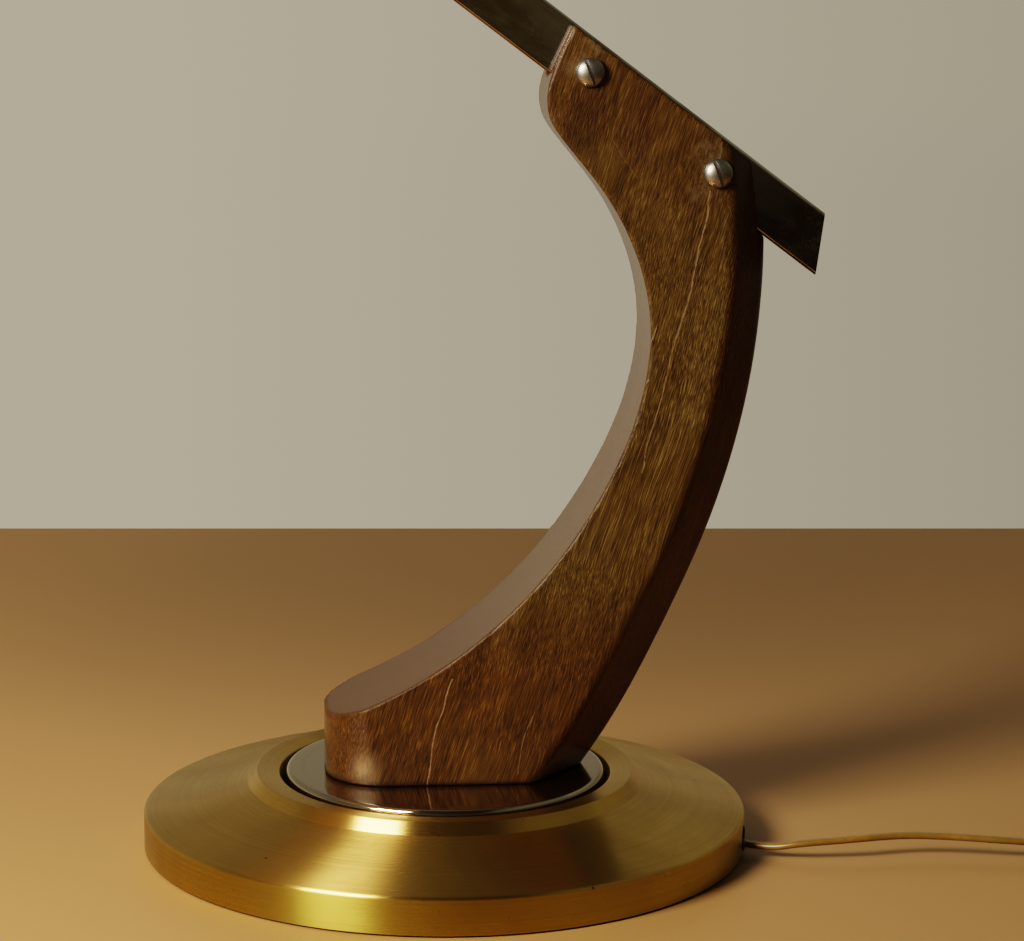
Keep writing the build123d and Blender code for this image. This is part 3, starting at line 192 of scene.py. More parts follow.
def turned(name, colours, rough, centre=(0, 0, 0), aniso=0.0, ring=6.0, ring_bump=0.004, tarnish=0.5,
           tarnish_col=(0.10, 0.06, 0.02), spots=0.0, smudge=0.25, axis="Z", rough_var=0.06, rim_shade=None):
    """Metal turned or brushed round an axis: fine rings, faint cloudy tarnish and small dark spots."""
    g = Graph(name)
    p = g.coords(centre)
    x, y, z = g.split(p)
    if axis == "Y":
        y, z = z, y
    r = g.math("SQRT", g.math("ADD", g.math("MULTIPLY", x, x), g.math("MULTIPLY", y, y)))
    a = g.math("ARCTAN2", y, x)
    ca, sa = g.math("COSINE", a), g.math("SINE", a)
    rings = g.join(g.math("ADD", g.math("MULTIPLY", r, ring), g.math("MULTIPLY", ca, 1.3)),
                   g.math("MULTIPLY", z, ring), g.math("MULTIPLY", sa, 1.3))
    fine = g.noise(rings, 1.0, 4.0, 0.62)
    wide = g.noise(rings, 0.16, 3.0, 0.55)
    cloud = g.noise(p, 0.022, 5.0, 0.6, 0.4)
    small = g.noise(p, 0.16, 4.0, 0.6)
    streak = g.math("ADD", g.math("MULTIPLY", fine, 0.6), g.math("MULTIPLY", wide, 0.4))
    col = g.mix(g.remap(streak, 0.35, 0.65), colours[0], colours[1])
    stain = g.math("MULTIPLY", g.remap(cloud, 0.46, 0.72), g.remap(small, 0.3, 0.7, 0.5, 1.0))
    col = g.mix(g.math("MULTIPLY", stain, tarnish), col, tarnish_col, "MIX")
    rgh = g.math("ADD", g.remap(streak, 0.3, 0.7, rough - rough_var, rough + rough_var),
                 g.math("MULTIPLY", g.remap(cloud, 0.4, 0.75), smudge * rough))
    if spots:
        d = g.voronoi(p, 0.085)
        keep = g.remap(g.noise(p, 0.05, 1.0), 0.5, 0.6)
        spot = g.math("MULTIPLY", g.remap(d, 0.02, 0.06, 1.0, 0.0), keep)
        d2 = g.voronoi(g.vmath("ADD", p, (31.0, 17.0, 5.0)), 0.27)
        keep2 = g.remap(g.noise(p, 0.03, 2.0), 0.52, 0.6)
        spot = g.math("MAXIMUM", spot, g.math("MULTIPLY", g.remap(d2, 0.03, 0.09, 0.8, 0.0), keep2))
        col = g.mix(g.math("MULTIPLY", spot, spots), col, (0.05, 0.03, 0.012))
        rgh = g.math("ADD", rgh, g.math("MULTIPLY", spot, 0.25 * spots))
    if rim_shade:     # painted shade: below a height the colour is made darker and deeper, standing in for the dim reflection on the side wall
        low, high, rim_shade_tint = rim_shade
        col = g.mix(g.remap(z, low, high, 1.0, 0.0, smooth=True), col, rim_shade_tint, "MULTIPLY")
    nrm = g.bump(streak, ring_bump, 1.0)
    g.set(color=col, rough=rgh, metal=1.0, normal=nrm)
    if aniso:
        t = g.node("ShaderNodeTangent", direction_type="RADIAL", axis=axis)
        g.set(aniso=aniso, aniso_rot=0.25, tangent=t.outputs[0])
    return g.mat


def plain(name, col, col2, rough, scale=0.3, metal=0.0, bump=0.03, bump_scale=3.0, coat=0.0, coat_rough=0.1,
          rough_var=0.08, spec=0.5):
    g = Graph(name)
    p = g.coords()
    cloud = g.noise(p, scale, 4.0, 0.6, 0.3)
    fine = g.noise(p, bump_scale, 3.0, 0.6)
    g.set(color=g.mix(g.remap(cloud, 0.35, 0.65), col, col2), metal=metal, spec=spec,
          rough=g.remap(g.math("ADD", g.math("MULTIPLY", cloud, 0.6), g.math("MULTIPLY", fine, 0.4)), 0.35, 0.65,
                        rough - rough_var, rough + rough_var),
          normal=g.bump(fine, bump), coat=coat, coat_rough=coat_rough)
    return g.mat


# ---------------------------------------------------------------- mesh tools
def new_object(name, verts, faces, smooth=True):
    me = bpy.data.meshes.new(name)
    me.from_pydata([tuple(v) for v in verts], [], faces)
    me.validate()
    bm = bmesh.new()
    bm.from_mesh(me)
    bmesh.ops.remove_doubles(bm, verts=bm.verts, dist=1e-7)
    bmesh.ops.recalc_face_normals(bm, faces=bm.faces)
    bm.to_mesh(me)
    bm.free()
    ob = bpy.data.objects.new(name, me)
    scene.collection.objects.link(ob)
    if smooth:
        for f in me.polygons:
            f.use_smooth = True
    return ob


def rounded(points, radii, steps=5):
    """A closed profile with its corners rounded. points and radii are in mm."""
    out = []
    n = len(points)
    for i in range(n):
        p0, p, p1 = Vector(points[i - 1]), Vector(points[i]), Vector(points[(i + 1) % n])
        r = radii[i]
        u, v = (p0 - p).normalized(), (p1 - p).normalized()
        ang = u.angle(v)
        if r <= 0 or ang > math.radians(178):
            out.append(tuple(p))
            continue
        cut = min(r / math.tan(ang / 2), 0.49 * (p0 - p).length, 0.49 * (p1 - p).length)
        rr = cut * math.tan(ang / 2)
        c = p + (u + v).normalized() * (rr / math.sin(ang / 2))
        a, b = p + u * cut - c, p + v * cut - c
        total = a.angle(b)
        sign = 1 if a.x * b.y - a.y * b.x > 0 else -1
        for k in range(steps + 1):
            t = sign * total * k / steps
            out.append((c.x + a.x * math.cos(t) - a.y * math.sin(t), c.y + a.x * math.sin(t) + a.y * math.cos(t)))
    return out


def lathe(name, profile, seg=192, centre=(0, 0), closed=True, axis="Z", origin=(0, 0, 0)):
    """Turn a profile of (radius, height) in mm about +Z or about Y. Points at radius 0 join in one vertex."""
    verts, rings = [], []
    for r, h in profile:
        if r < 1e-6:
            rings.append([len(verts)])
            verts.append((0, 0, h))
        else:
            ring = []
            for k in range(seg):
                a = 2 * math.pi * k / seg
                ring.append(len(verts))
                verts.append((r * math.cos(a), r * math.sin(a), h))
            rings.append(ring)
    faces = []
    pairs = list(zip(rings, rings[1:])) + ([(rings[-1], rings[0])] if closed else [])
    for a, b in pairs:
        if len(a) == 1 and len(b) == 1:
            continue
        for k in range(seg):
            k1 = (k + 1) % seg
            if len(a) == 1:
                faces.append((a[0], b[k], b[k1]))
            elif len(b) == 1:
                faces.append((a[k], a[k1], b[0]))
            else:
                faces.append((a[k], a[k1], b[k1], b[k]))
    out = []
    for x, y, h in verts:
        if axis == "Z":
            out.append(mm(x + centre[0], y + centre[1], h))
        else:       # height runs along +Y from the origin
            out.append(mm(origin[0] + x, origin[1] + h, origin[2] + y))
    return new_object(name, out, faces)


def paint(ob, mat):
    ob.data.materials.clear()
    ob.data.materials.append(mat)
    return ob


def apply_modifiers(ob):
    dg = bpy.context.evaluated_depsgraph_get()
    me = bpy.data.meshes.new_from_object(ob.evaluated_get(dg))
    ob.modifiers.clear()
    ob.data = me
    return ob


def cut(ob, tool):
    """Take a tool's solid out of a mesh, and drop the tool."""
    md = ob.modifiers.new("cut", "BOOLEAN")
    md.operation = "DIFFERENCE"
    md.solver = "EXACT"
    md.object = tool
    bpy.context.view_layer.update()
    apply_modifiers(ob)
    bpy.data.objects.remove(tool)
    return ob


def by_angle(ob, degrees=30):
    """Smooth shading with sharp edges above an angle."""
    me = ob.data
    bm = bmesh.new()
    bm.from_mesh(me)
    lim = math.radians(degrees)
    for e in bm.edges:
        e.smooth = len(e.link_faces) == 2 and e.calc_face_angle(0.0) < lim
    for f in bm.faces:
        f.smooth = True
    bm.to_mesh(me)
    bm.free()
    return ob


def prism(name, outline, plane, low, high):
    """A straight prism: outline of (u, v) in mm on a plane (origin, u, v, n), from low to high along n."""
    o, u, v, n = (Vector(w) for w in plane)
    verts = []
    for h in (low, high):
        for a, b in outline:
            p = o + u * a + v * b + n * h
            verts.append(mm(*p))
    k = len(outline)
    faces = [tuple(range(k))[::-1], tuple(range(k, 2 * k))]
    faces += [(i, (i + 1) % k, k + (i + 1) % k, k + i) for i in range(k)]
    return new_object(name, verts, faces, smooth=False)


def oval(width, height, steps=16):
    """Upright oval outline."""
    r = width / 2
    s = height / 2 - r
    pts = [(r * math.cos(math.pi * k / steps), s + r * math.sin(math.pi * k / steps)) for k in range(steps + 1)]
    pts += [(-x, -y) for x, y in pts]
    return pts


# ----------------------------------------------------------------- materials
HX, PZ = -200.0744, 475.4292
BRASS = ((0.80, 0.535, 0.170), (0.71, 0.452, 0.122))
# the rim entry paints shade on the side wall of the base cover below 14.4 mm
brass = turned("brass_brushed", BRASS, 0.275, aniso=1.0, ring=5.0, ring_bump=0.004, tarnish=0.30,
               tarnish_col=(0.34, 0.22, 0.075), spots=0.75, rough_var=0.04, rim_shade=(12.6, 14.4, (0.60, 0.69, 0.48)))
brass_head = turned("brass_lacquered", ((0.64, 0.46, 0.19), (0.58, 0.41, 0.16)), 0.25, centre=(HX, 0, 0), aniso=0.6,
                    ring=4.0, ring_bump=0.004, tarnish=0.25, tarnish_col=(0.32, 0.21, 0.09), spots=0.35)
brass_small = turned("brass_fittings", BRASS, 0.24, centre=(HX, 0, 0), ring=8.0, ring_bump=0.004, tarnish=0.45,
                     tarnish_col=(0.26, 0.16, 0.06), spots=0.4)
chrome_disc = turned("chrome_disc", ((0.60, 0.525, 0.40), (0.53, 0.46, 0.345)), 0.065, ring=4.0, ring_bump=0.0006,
                     tarnish=0.3, tarnish_col=(0.30, 0.28, 0.25), spots=0.35, rough_var=0.025, smudge=1.2)
steel = plain("zinc_plated_steel", (0.42, 0.42, 0.41), (0.34, 0.33, 0.32), 0.38, metal=1.0, bump=0.01)
iron = plain("cast_iron", (0.035, 0.034, 0.033), (0.02, 0.02, 0.02), 0.7, metal=0.0, bump=0.35, bump_scale=0.9)
fibre = plain("grey_fibre", (0.30, 0.27, 0.23), (0.22, 0.20, 0.17), 0.8, bump=0.05)
rubber = plain("black_rubber", (0.018, 0.017, 0.016), (0.03, 0.029, 0.027), 0.55, bump=0.03)
lead = plain("white_lead", (0.62, 0.60, 0.54), (0.55, 0.52, 0.45), 0.42, bump=0.01)
bakelite = plain("black_moulding", (0.022, 0.020, 0.019), (0.035, 0.032, 0.03), 0.30, bump=0.015, coat=0.3)
brown = plain("brown_moulding", (0.060, 0.028, 0.014), (0.045, 0.020, 0.010), 0.26, bump=0.02, coat=0.35)
ceramic = plain("white_ceramic", (0.70, 0.68, 0.62), (0.64, 0.62, 0.56), 0.35, bump=0.03)


def nickel_material():
    g = Graph("nickel_tarnished")
    p = g.coords()
    a = g.noise(p, 0.9, 5.0, 0.65, 0.4)
    b = g.noise(p, 3.4, 4.0, 0.65)
    col = g.mix(g.remap(a, 0.4, 0.62), (0.42, 0.395, 0.350), (0.285, 0.258, 0.218))
    col = g.mix(g.remap(b, 0.58, 0.70, 0.0, 0.75), col, (0.12, 0.09, 0.06))
    g.set(color=col, metal=1.0, rough=g.remap(g.math("ADD", a, g.math("MULTIPLY", b, 0.4)), 0.45, 0.95, 0.31, 0.47),
          normal=g.bump(b, 0.012))
    return g.mat


nickel = nickel_material()


def arm_material():
    """Polished plated tube: nearly clean, with faint long rubbing marks, cloudy stains and fine pits."""
    g = Graph("polished_arm")
    p = g.coords((80.0, 0.0, 267.2))
    x, y, z = g.split(p)
    ux, uz, nx, nz = -0.80252, 0.59665, 0.59665, 0.80252
    s = g.math("ADD", g.math("MULTIPLY", x, ux), g.math("MULTIPLY", z, uz))
    h = g.math("ADD", g.math("MULTIPLY", x, nx), g.math("MULTIPLY", z, nz))
    along = g.join(g.math("MULTIPLY", s, 0.05), g.math("MULTIPLY", h, 2.2), g.math("MULTIPLY", y, 2.2))
    rub = g.noise(along, 1.0, 5.0, 0.6)
    cloud = g.noise(p, 0.07, 6.0, 0.62, 0.6)
    fine = g.noise(p, 0.9, 4.0, 0.7)
    low_end = g.remap(s, -78.0, -40.0, 1.0, 0.0, smooth=True)
    stain = g.math("MULTIPLY", g.remap(cloud, 0.48, 0.66), g.math("ADD", 0.25, g.math("MULTIPLY", low_end, 0.75)))
    grain = g.math("MULTIPLY", stain, g.remap(fine, 0.42, 0.62))
    col = g.mix(g.remap(rub, 0.35, 0.65), (0.70, 0.655, 0.575), (0.59, 0.55, 0.475))
    col = g.mix(grain, col, (0.24, 0.19, 0.13))
    deep = g.noise(g.join(g.math("MULTIPLY", s, 0.030), g.math("MULTIPLY", h, 0.075), g.math("MULTIPLY", y, 0.075)),
                   1.0, 4.0, 0.55, 0.6)
    col = g.mix(g.remap(deep, 0.36, 0.56, 0.10, 1.0, smooth=True), g.mix(1.0, col, (0.62, 0.54, 0.46), "MULTIPLY"), col)
    # painted shade and painted reflection: the underside darker and warm-tinted, darkest towards the low end by the
    # stem
    underside_shade = g.remap(h, -8.9, -9.5, 0.0, 1.0, smooth=True)
    col = g.mix(underside_shade, col, g.mix(low_end, (0.34, 0.25, 0.12), (0.10, 0.075, 0.04)), "MULTIPLY")
    rgh = g.math("ADD", g.remap(rub, 0.3, 0.7, 0.05, 0.12), g.math("MULTIPLY", grain, 0.30))
    wave = g.noise(p, 0.035, 2.0, 0.4)
    nrm = g.bump(g.math("ADD", g.math("MULTIPLY", wave, 1.0), g.math("MULTIPLY", rub, 0.004)), 0.05)
    g.set(color=col, metal=1.0, rough=rgh, normal=nrm)
    return g.mat


arm_metal = arm_material()

SCRATCHES = [       # X and Z of points on the side that faces the camera, width and strength
    ([(93.6, 245.6), (91.1, 229.2), (89.2, 220.9), (86.0, 205.7), (81.1, 189.3)], 0.40, 0.95),
    ([(81.1, 189.3), (76.8, 172.3), (72.9, 158.4), (69.5, 143.8)], 0.34, 0.80),
    ([(98.2, 263.0), (97.3, 257.2)], 0.35, 0.6),
    ([(0.4, 68.6), (-2.9, 58.2), (-5.5, 49.3), (-7.0, 40.2), (-9.2, 29.6)], 0.38, 0.95),
    ([(31.6, 58.0), (28.3, 50.3), (25.6, 41.0), (25.0, 33.0)], 0.24, 0.5),
    ([(57.6, 264.6), (67.7, 250.2)], 0.18, 0.35),
]
SCUFFS = [          # X, Z and radius of rubbed spots on the same side
    (51.0, 297.0, 6.5), (45.5, 291.0, 7.0), (93.0, 258.5, 7.5), (98.5, 262.0, 5.5), (90.0, 246.0, 6.0),
]


def wood_material():
    """Dark open-pored hardwood: fine straight tan fibres on dark brown, leaning with the stem, cloudy darker
    patches, satin lacquer, worn edges and a few pale scratches. The hollow side is smooth and hazy."""
    g = Graph("dark_wood")
    p = g.coords()
    x, y, z = g.split(p)
    lean = math.radians(16.0)
    ax, az = math.sin(lean), math.cos(lean)
    bend = g.noise(p, 0.010, 2.0, 0.5)
    across = g.math("SUBTRACT", g.math("MULTIPLY", x, az), g.math("MULTIPLY", z, ax))
    across = g.math("ADD", across, g.math("MULTIPLY", bend, 14.0))
    along = g.math("ADD", g.math("MULTIPLY", x, ax), g.math("MULTIPLY", z, az))
    depth = g.math("ADD", y, g.math("MULTIPLY", bend, 9.0))

    def grain(fa, fl, detail=3.0, rough=0.55, distort=0.0, off=0.0):
        v = g.join(g.math("MULTIPLY", across, fa), g.math("MULTIPLY", depth, fa), g.math("MULTIPLY", along, fl))
        if off:
            v = g.vmath("ADD", v, (off, off * 0.7, off * 1.3))
        return g.noise(v, 1.0, detail, rough, distort)

    # how far up: 0 at the foot, 1 half way up; and 1 at the top again like the foot
    mid = g.math("MULTIPLY", g.remap(z, 62.0, 120.0, 0.0, 1.0, smooth=True), g.remap(z, 215.0, 285.0, 1.0, 0.25, smooth=True))
    nrm_obj = g.node("ShaderNodeTexCoord").outputs["Normal"]
    nx, ny, nz = g.split(nrm_obj)
    hollow = g.math("MULTIPLY", g.remap(g.math("ABSOLUTE", ny), 0.35, 0.65, 1.0, 0.0), g.remap(nx, -0.35, -0.15, 1.0, 0.0))
    hollow = g.math("MULTIPLY", hollow, g.remap(z, 48.0, 56.0, 0.0, 1.0))

    patch = g.noise(p, 0.034, 4.0, 0.60, 0.5)
    patch2 = g.noise(g.vmath("ADD", p, (40.0, 9.0, 77.0)), 0.015, 3.0, 0.5, 0.3)
    bands = grain(0.16, 0.010, 3.0, 0.55)
    drift = g.noise(g.join(g.math("MULTIPLY", across, 0.22), g.math("MULTIPLY", depth, 0.22),
                           g.math("MULTIPLY", along, 0.018)), 1.0, 2.0, 0.5)
    line = g.math("SINE", g.math("MULTIPLY_ADD", across, 2 * math.pi / 0.88, g.math("MULTIPLY", drift, 26.0)))
    weak = g.remap(grain(0.55, 0.045, 2.0, 0.5, 0.0, 5.0), 0.36, 0.60, 0.25, 1.0)
    long_f = g.math("ADD", grain(3.1, 0.026, 2.0, 0.45, 0.0, 7.0),       # long even fibres, about 0.9 mm apart
                    g.math("MULTIPLY", g.math("MULTIPLY", line, weak), 0.12))
    short_f = grain(2.9, 0.100, 2.0, 0.50, 0.0, 3.0)     # short dashes at the foot and the top
    tiny = grain(5.4, 0.15, 2.0, 0.55, 0.0, 11.0)
    fibre_mix = g.fmix(g.math("MULTIPLY", mid, 0.75), short_f, long_f)
    t = g.math("ADD", g.math("MULTIPLY", g.math("SUBTRACT", fibre_mix, 0.5), 1.85),
               g.math("MULTIPLY", g.math("SUBTRACT", tiny, 0.5), 1.40))
    t = g.math("ADD", t, g.math("MULTIPLY", g.math("SUBTRACT", bands, 0.5), 0.60))
    t = g.math("ADD", t, g.math("MULTIPLY", g.math("SUBTRACT", patch, 0.5), 0.50))
    t = g.math("ADD", t, 0.47, clamp=True)
    foot_col = g.ramp(t, [(0.0, (0.0130, 0.0040, 0.0004)), (0.35, (0.0420, 0.0150, 0.0012)),
                          (0.70, (0.0780, 0.0310, 0.0032)), (1.0, (0.1500, 0.0720, 0.0130))])
    mid_col = g.ramp(t, [(0.0, (0.0210, 0.0085, 0.0018)), (0.35, (0.0590, 0.0315, 0.0060)),
                         (0.70, (0.1080, 0.0670, 0.0165)), (1.0, (0.2100, 0.1450, 0.0480))])
    col = g.mix(g.math("MULTIPLY", mid, g.remap(patch2, 0.34, 0.60, 0.55, 1.0)), foot_col, mid_col)
    # golden patches
    gold = g.remap(g.noise(g.vmath("ADD", p, (11.0, 63.0, 20.0)), 0.026, 3.0, 0.55, 0.4), 0.56, 0.70)
    col = g.mix(g.math("MULTIPLY", gold, 0.16), col, (0.100, 0.058, 0.0075))
    # painted highlight: a pale spot low on the rounded corner of the nose
    hx, hz = g.math("SUBTRACT", x, -31.0), g.math("MULTIPLY", g.math("SUBTRACT", z, 35.0), 0.85)
    nose_painted_highlight = g.remap(g.math("SQRT", g.math("ADD", g.math("MULTIPLY", hx, hx), g.math("MULTIPLY", hz, hz))),
                   1.5, 8.5, 1.0, 0.0, smooth=True)
    nose_painted_highlight = g.math("MULTIPLY", nose_painted_highlight, g.remap(y, -6.0, -12.0, 0.0, 1.0))
    col = g.mix(g.math("MULTIPLY", nose_painted_highlight, 0.26), col, (0.260, 0.175, 0.105))
    # scratches on the near side
    total = None
    near = g.remap(y, -10.0, -9.0, 1.0, 0.0)
    wob = g.math("MULTIPLY", g.math("SUBTRACT", g.noise(p, 0.09, 3.0, 0.6), 0.5), 3.0)
    px = g.math("ADD", x, wob)
    for pts, width, strength in SCRATCHES:
        for (x0, z0), (x1, z1) in zip(pts, pts[1:]):
            dx, dz = x1 - x0, z1 - z0
            ll = dx * dx + dz * dz
            ex, ez = g.math("SUBTRACT", px, x0), g.math("SUBTRACT", z, z0)
            u = g.math("MULTIPLY_ADD", ex, dx / ll, g.math("MULTIPLY", ez, dz / ll), clamp=True)
            qx = g.math("MULTIPLY_ADD", u, -dx, ex)
            qz = g.math("MULTIPLY_ADD", u, -dz, ez)
            d = g.math("SQRT", g.math("ADD", g.math("MULTIPLY", qx, qx), g.math("MULTIPLY", qz, qz)))
            line = g.remap(d, width * 0.3, width, strength, 0.0)
            total = line if total is None else g.math("MAXIMUM", total, line)
    broken = g.remap(g.noise(p, 0.5, 3.0, 0.65), 0.30, 0.56, 0.25, 1.0)
    scratch = g.math("MULTIPLY", g.math("MULTIPLY", total, near), broken)
    col = g.mix(g.math("MULTIPLY", scratch, 0.80), col, (0.240, 0.155, 0.080))
    # grey-tan scuffs by the two screws
    scuff = None
    for sx, sz, r in SCUFFS:
        dx, dz = g.math("SUBTRACT", x, sx), g.math("SUBTRACT", z, sz)
        d = g.math("SQRT", g.math("ADD", g.math("MULTIPLY", dx, dx), g.math("MULTIPLY", dz, dz)))
        q = g.remap(d, r * 0.45, r, 1.0, 0.0, smooth=True)
        scuff = q if scuff is None else g.math("MAXIMUM", scuff, q)
    rubbed = g.math("MULTIPLY", g.math("MULTIPLY", scuff, near), g.remap(g.noise(p, 0.30, 4.0, 0.65), 0.42, 0.60))
    col = g.mix(g.math("MULTIPLY", rubbed, 0.42), col, (0.130, 0.090, 0.048))
    # worn edges: paler on sharp edges; painted shade: darker in the corner over the disc
    edge = g.node("ShaderNodeAttribute", attribute_name="edge_wear").outputs["Fac"]
    chip = g.math("MULTIPLY", g.remap(ny, -0.30, -0.60, 0.25, 1.0), g.remap(g.math("ADD", edge, g.math("MULTIPLY", g.math("SUBTRACT", g.noise(p, 0.45, 4.0, 0.65), 0.5), 1.0)),
                   0.80, 1.15))
    col = g.mix(g.math("MULTIPLY", chip, 0.24), col, (0.210, 0.120, 0.058))
    foot_contact_shade = g.remap(z, 29.0, 31.5, 0.70, 0.0)
    col = g.mix(foot_contact_shade, col, (0.006, 0.003, 0.001))
    col = g.mix(g.math("MULTIPLY", hollow, 0.66), col, (0.068, 0.030, 0.012))
    # painted shade: the back is darker, and its coat duller
    back_shade_and_dull = g.math("MULTIPLY", g.remap(nx, 0.18, 0.62, 0.0, 1.0, smooth=True), g.remap(nz, 0.35, 0.60, 1.0, 0.0))
    col = g.mix(g.math("MULTIPLY", back_shade_and_dull, 0.80), col, (1.00, 0.62, 0.36), "MULTIPLY")
    pore = g.remap(fibre_mix, 0.42, 0.34, 0.0, 1.0)
    rgh = g.math("ADD", g.remap(t, 0.2, 0.8, 0.46, 0.56), g.math("MULTIPLY", pore, 0.10))
    height = g.math("SUBTRACT", g.math("MULTIPLY", fibre_mix, 0.8), g.math("MULTIPLY", scratch, 0.8))
    still = g.math("SUBTRACT", 1.0, g.math("MULTIPLY", hollow, 0.93))
    bump1 = g.node("ShaderNodeBump", {"Height": height, "Strength": still, "Distance": 0.00006})
    bump2 = g.node("ShaderNodeBump", {"Height": g.math("ADD", g.math("MULTIPLY", height, 0.45), g.noise(p, 0.10, 3.0, 0.5)),
                                      "Strength": g.math("MULTIPLY", still, 0.9), "Distance": 0.00005})
    coat = g.math("MULTIPLY", g.remap(edge, 0.15, 0.60, 0.85, 0.06), g.remap(scratch, 0.0, 0.6, 1.0, 0.4))
    coat = g.math("MULTIPLY", coat, g.math("MULTIPLY", g.remap(back_shade_and_dull, 0.0, 1.0, 1.0, 0.45), g.remap(hollow, 0.0, 1.0, 1.0, 0.85)))
    g.set(color=col, rough=rgh, normal=bump1.outputs[0], spec=0.2, coat=coat, coat_rough=0.23,
          coat_normal=bump2.outputs[0])
    return g.mat


wood = wood_material()


def felt_material():
    g = Graph("dark_green_felt")
    p = g.coords()
    a, b = g.noise(p, 1.6, 5.0, 0.7), g.noise(p, 0.05, 3.0)
    col = g.mix(g.remap(a, 0.35, 0.65), (0.016, 0.034, 0.020), (0.032, 0.058, 0.036))
    g.set(color=g.mix(g.remap(b, 0.45, 0.7, 0.0, 0.4), col, (0.05, 0.06, 0.045)), rough=0.95, sheen=0.4,
          normal=g.bump(a, 0.35))
    return g.mat


felt = felt_material()


def flex_material():
    """Amber plastic over two bright strands."""
    g = Graph("amber_flex")
    p = g.coords()
    a, b = g.noise(p, 0.35, 3.0, 0.6), g.noise(p, 0.05, 2.0)
    col = g.mix(g.remap(a, 0.35, 0.65), (0.26, 0.145, 0.022), (0.20, 0.095, 0.012))
    col = g.mix(g.remap(b, 0.45, 0.65), col, (0.17, 0.095, 0.018))
    g.set(color=col, rough=g.remap(a, 0.3, 0.7, 0.26, 0.38), coat=0.12, coat_rough=0.2, spec=0.4,
          sss=0.15, sss_r=(0.0012, 0.0007, 0.0002), normal=g.bump(a, 0.02))
    return g.mat


amber = flex_material()


def opal_material():
    g = Graph("opal_glass")
    p = g.coords()
    a = g.noise(p, 0.02, 3.0)
    g.set(color=g.mix(a, (0.86, 0.85, 0.81), (0.80, 0.79, 0.75)), rough=g.remap(a, 0.3, 0.7, 0.28, 0.36), spec=0.5,
          coat=0.25, coat_rough=0.2, normal=g.bump(g.noise(p, 0.12, 2.0), 0.02))
    return g.mat


opal = opal_material()
frosted = plain("frosted_bulb", (0.80, 0.79, 0.75), (0.76, 0.75, 0.70), 0.35, bump=0.005)

# ------------------------------------------------------------------- cords
FLEX_AZ = math.radians(-14.0)
EXIT = (113.3 * math.cos(FLEX_AZ), 113.3 * math.sin(FLEX_AZ), 4.1)
FLEX = [EXIT, (118.5, -32.6, 3.8), (129.0, -36.4, 6.5), (146.2, -37.0, 7.6), (159.1, -34.6, 7.8),
        (171.8, -33.4, 7.8), (190.0, -36.6, 7.5), (202.0, -39.9, 7.2), (211.9, -41.2, 6.8),
        (228.0, -39.6, 4.2), (242.0, -34.4, 2.1)]
COIL_C, COIL_MID, PITCH_MM = (259.0, -4.0), 21.0, 3.8
coil = []


def coil_point(angle, radius, z):
    return (COIL_C[0] + radius * math.cos(angle), COIL_C[1] + radius * math.sin(angle), z)


# The spare length: four layers of three turns, wound outwards and inwards in
# turn, from the side where the flex arrives.
start = math.radians(-104.0)
PER = 16
TURNS = 12.1
for k in range(int(TURNS * PER) + 1):
    t = k / PER
    layer = min(3, int(t // 3))
    f = t - 3 * layer
    across = min(1.0, f / 2.0) if f < 2.0 else 1.0
    r_in, r_out = COIL_MID - PITCH_MM, COIL_MID + PITCH_MM
    turn_no = min(2, int(f))
    step = min(1.0, max(0.0, (f - turn_no - 0.72) / 0.28)) if turn_no < 2 else 0.0
    step = step * step * (3 - 2 * step)
    pos = turn_no + step
    radius = r_out - pos * PITCH_MM if layer % 2 == 0 else r_in + pos * PITCH_MM
    lift = max(0.0, (f - 2.72) / 0.28) if layer < 3 else 0.0
    lift = lift * lift * (3 - 2 * lift)
    z = 1.95 + (layer + lift) * 3.72
    wob = 0.16 * math.sin(2.3 * t * math.pi + 0.7 * layer)
    coil.append(coil_point(start + 2 * math.pi * t, radius + wob, z))
LAST = start + 2 * math.pi * TURNS
TAIL_X = COIL_C[0] + COIL_MID + PITCH_MM
TAIL = [(TAIL_X - 0.2, COIL_C[1] + 1.0, 13.1), (TAIL_X, COIL_C[1] + 8.0, 12.4), (TAIL_X + 0.3, COIL_C[1] + 15.5, 8.9),
        (TAIL_X, 20.0, 7.0)]
ROUTE = FLEX + coil + TAIL


def section(name, width, height):
    """A rounded two-lobed section: the shape of a flat twin flex."""
    cu = bpy.data.curves.new(name, "CURVE")
    cu.dimensions = "2D"
    sp = cu.splines.new("POLY")
    pts = []
    r, off = height / 2, (width - height) / 2
    n = 40
    for k in range(n):
        a = 2 * math.pi * k / n
        cx = off if math.cos(a) >= 0 else -off
        px, py = cx + r * math.cos(a), r * math.sin(a)
        pinch = 1.0 - 0.55 * math.exp(-(px / (0.26 * width / 2)) ** 2)
        pts.append((px * 0.001, py * pinch * 0.001, 0, 1))
    sp.points.add(len(pts) - 1)
    for q, v in zip(sp.points, pts):
        q.co = v
    sp.use_cyclic_u = True
    ob = bpy.data.objects.new(name, cu)
    scene.collection.objects.link(ob)
    return ob


flex_curve = bpy.data.curves.new("mains_flex", "CURVE")
flex_curve.dimensions = "3D"
spline = flex_curve.splines.new("NURBS")
spline.points.add(len(ROUTE) - 1)
for q, v in zip(spline.points, ROUTE):
    q.co = (v[0] * 0.001, v[1] * 0.001, v[2] * 0.001, 1.0)
spline.order_u = 3
spline.use_endpoint_u = True
spline.resolution_u = 6
twin = section("twin_section", 3.8, 2.3)
twin.hide_render = True
flex_curve.bevel_mode = "OBJECT"
flex_curve.bevel_object = twin
flex_curve.use_fill_caps = True
mains_flex = bpy.data.objects.new("mains_flex", flex_curve)
scene.collection.objects.link(mains_flex)
mains_flex.data.materials.append(amber)
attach(mains_flex, "base")
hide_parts("flex", "flex_coil", "flex_tail")

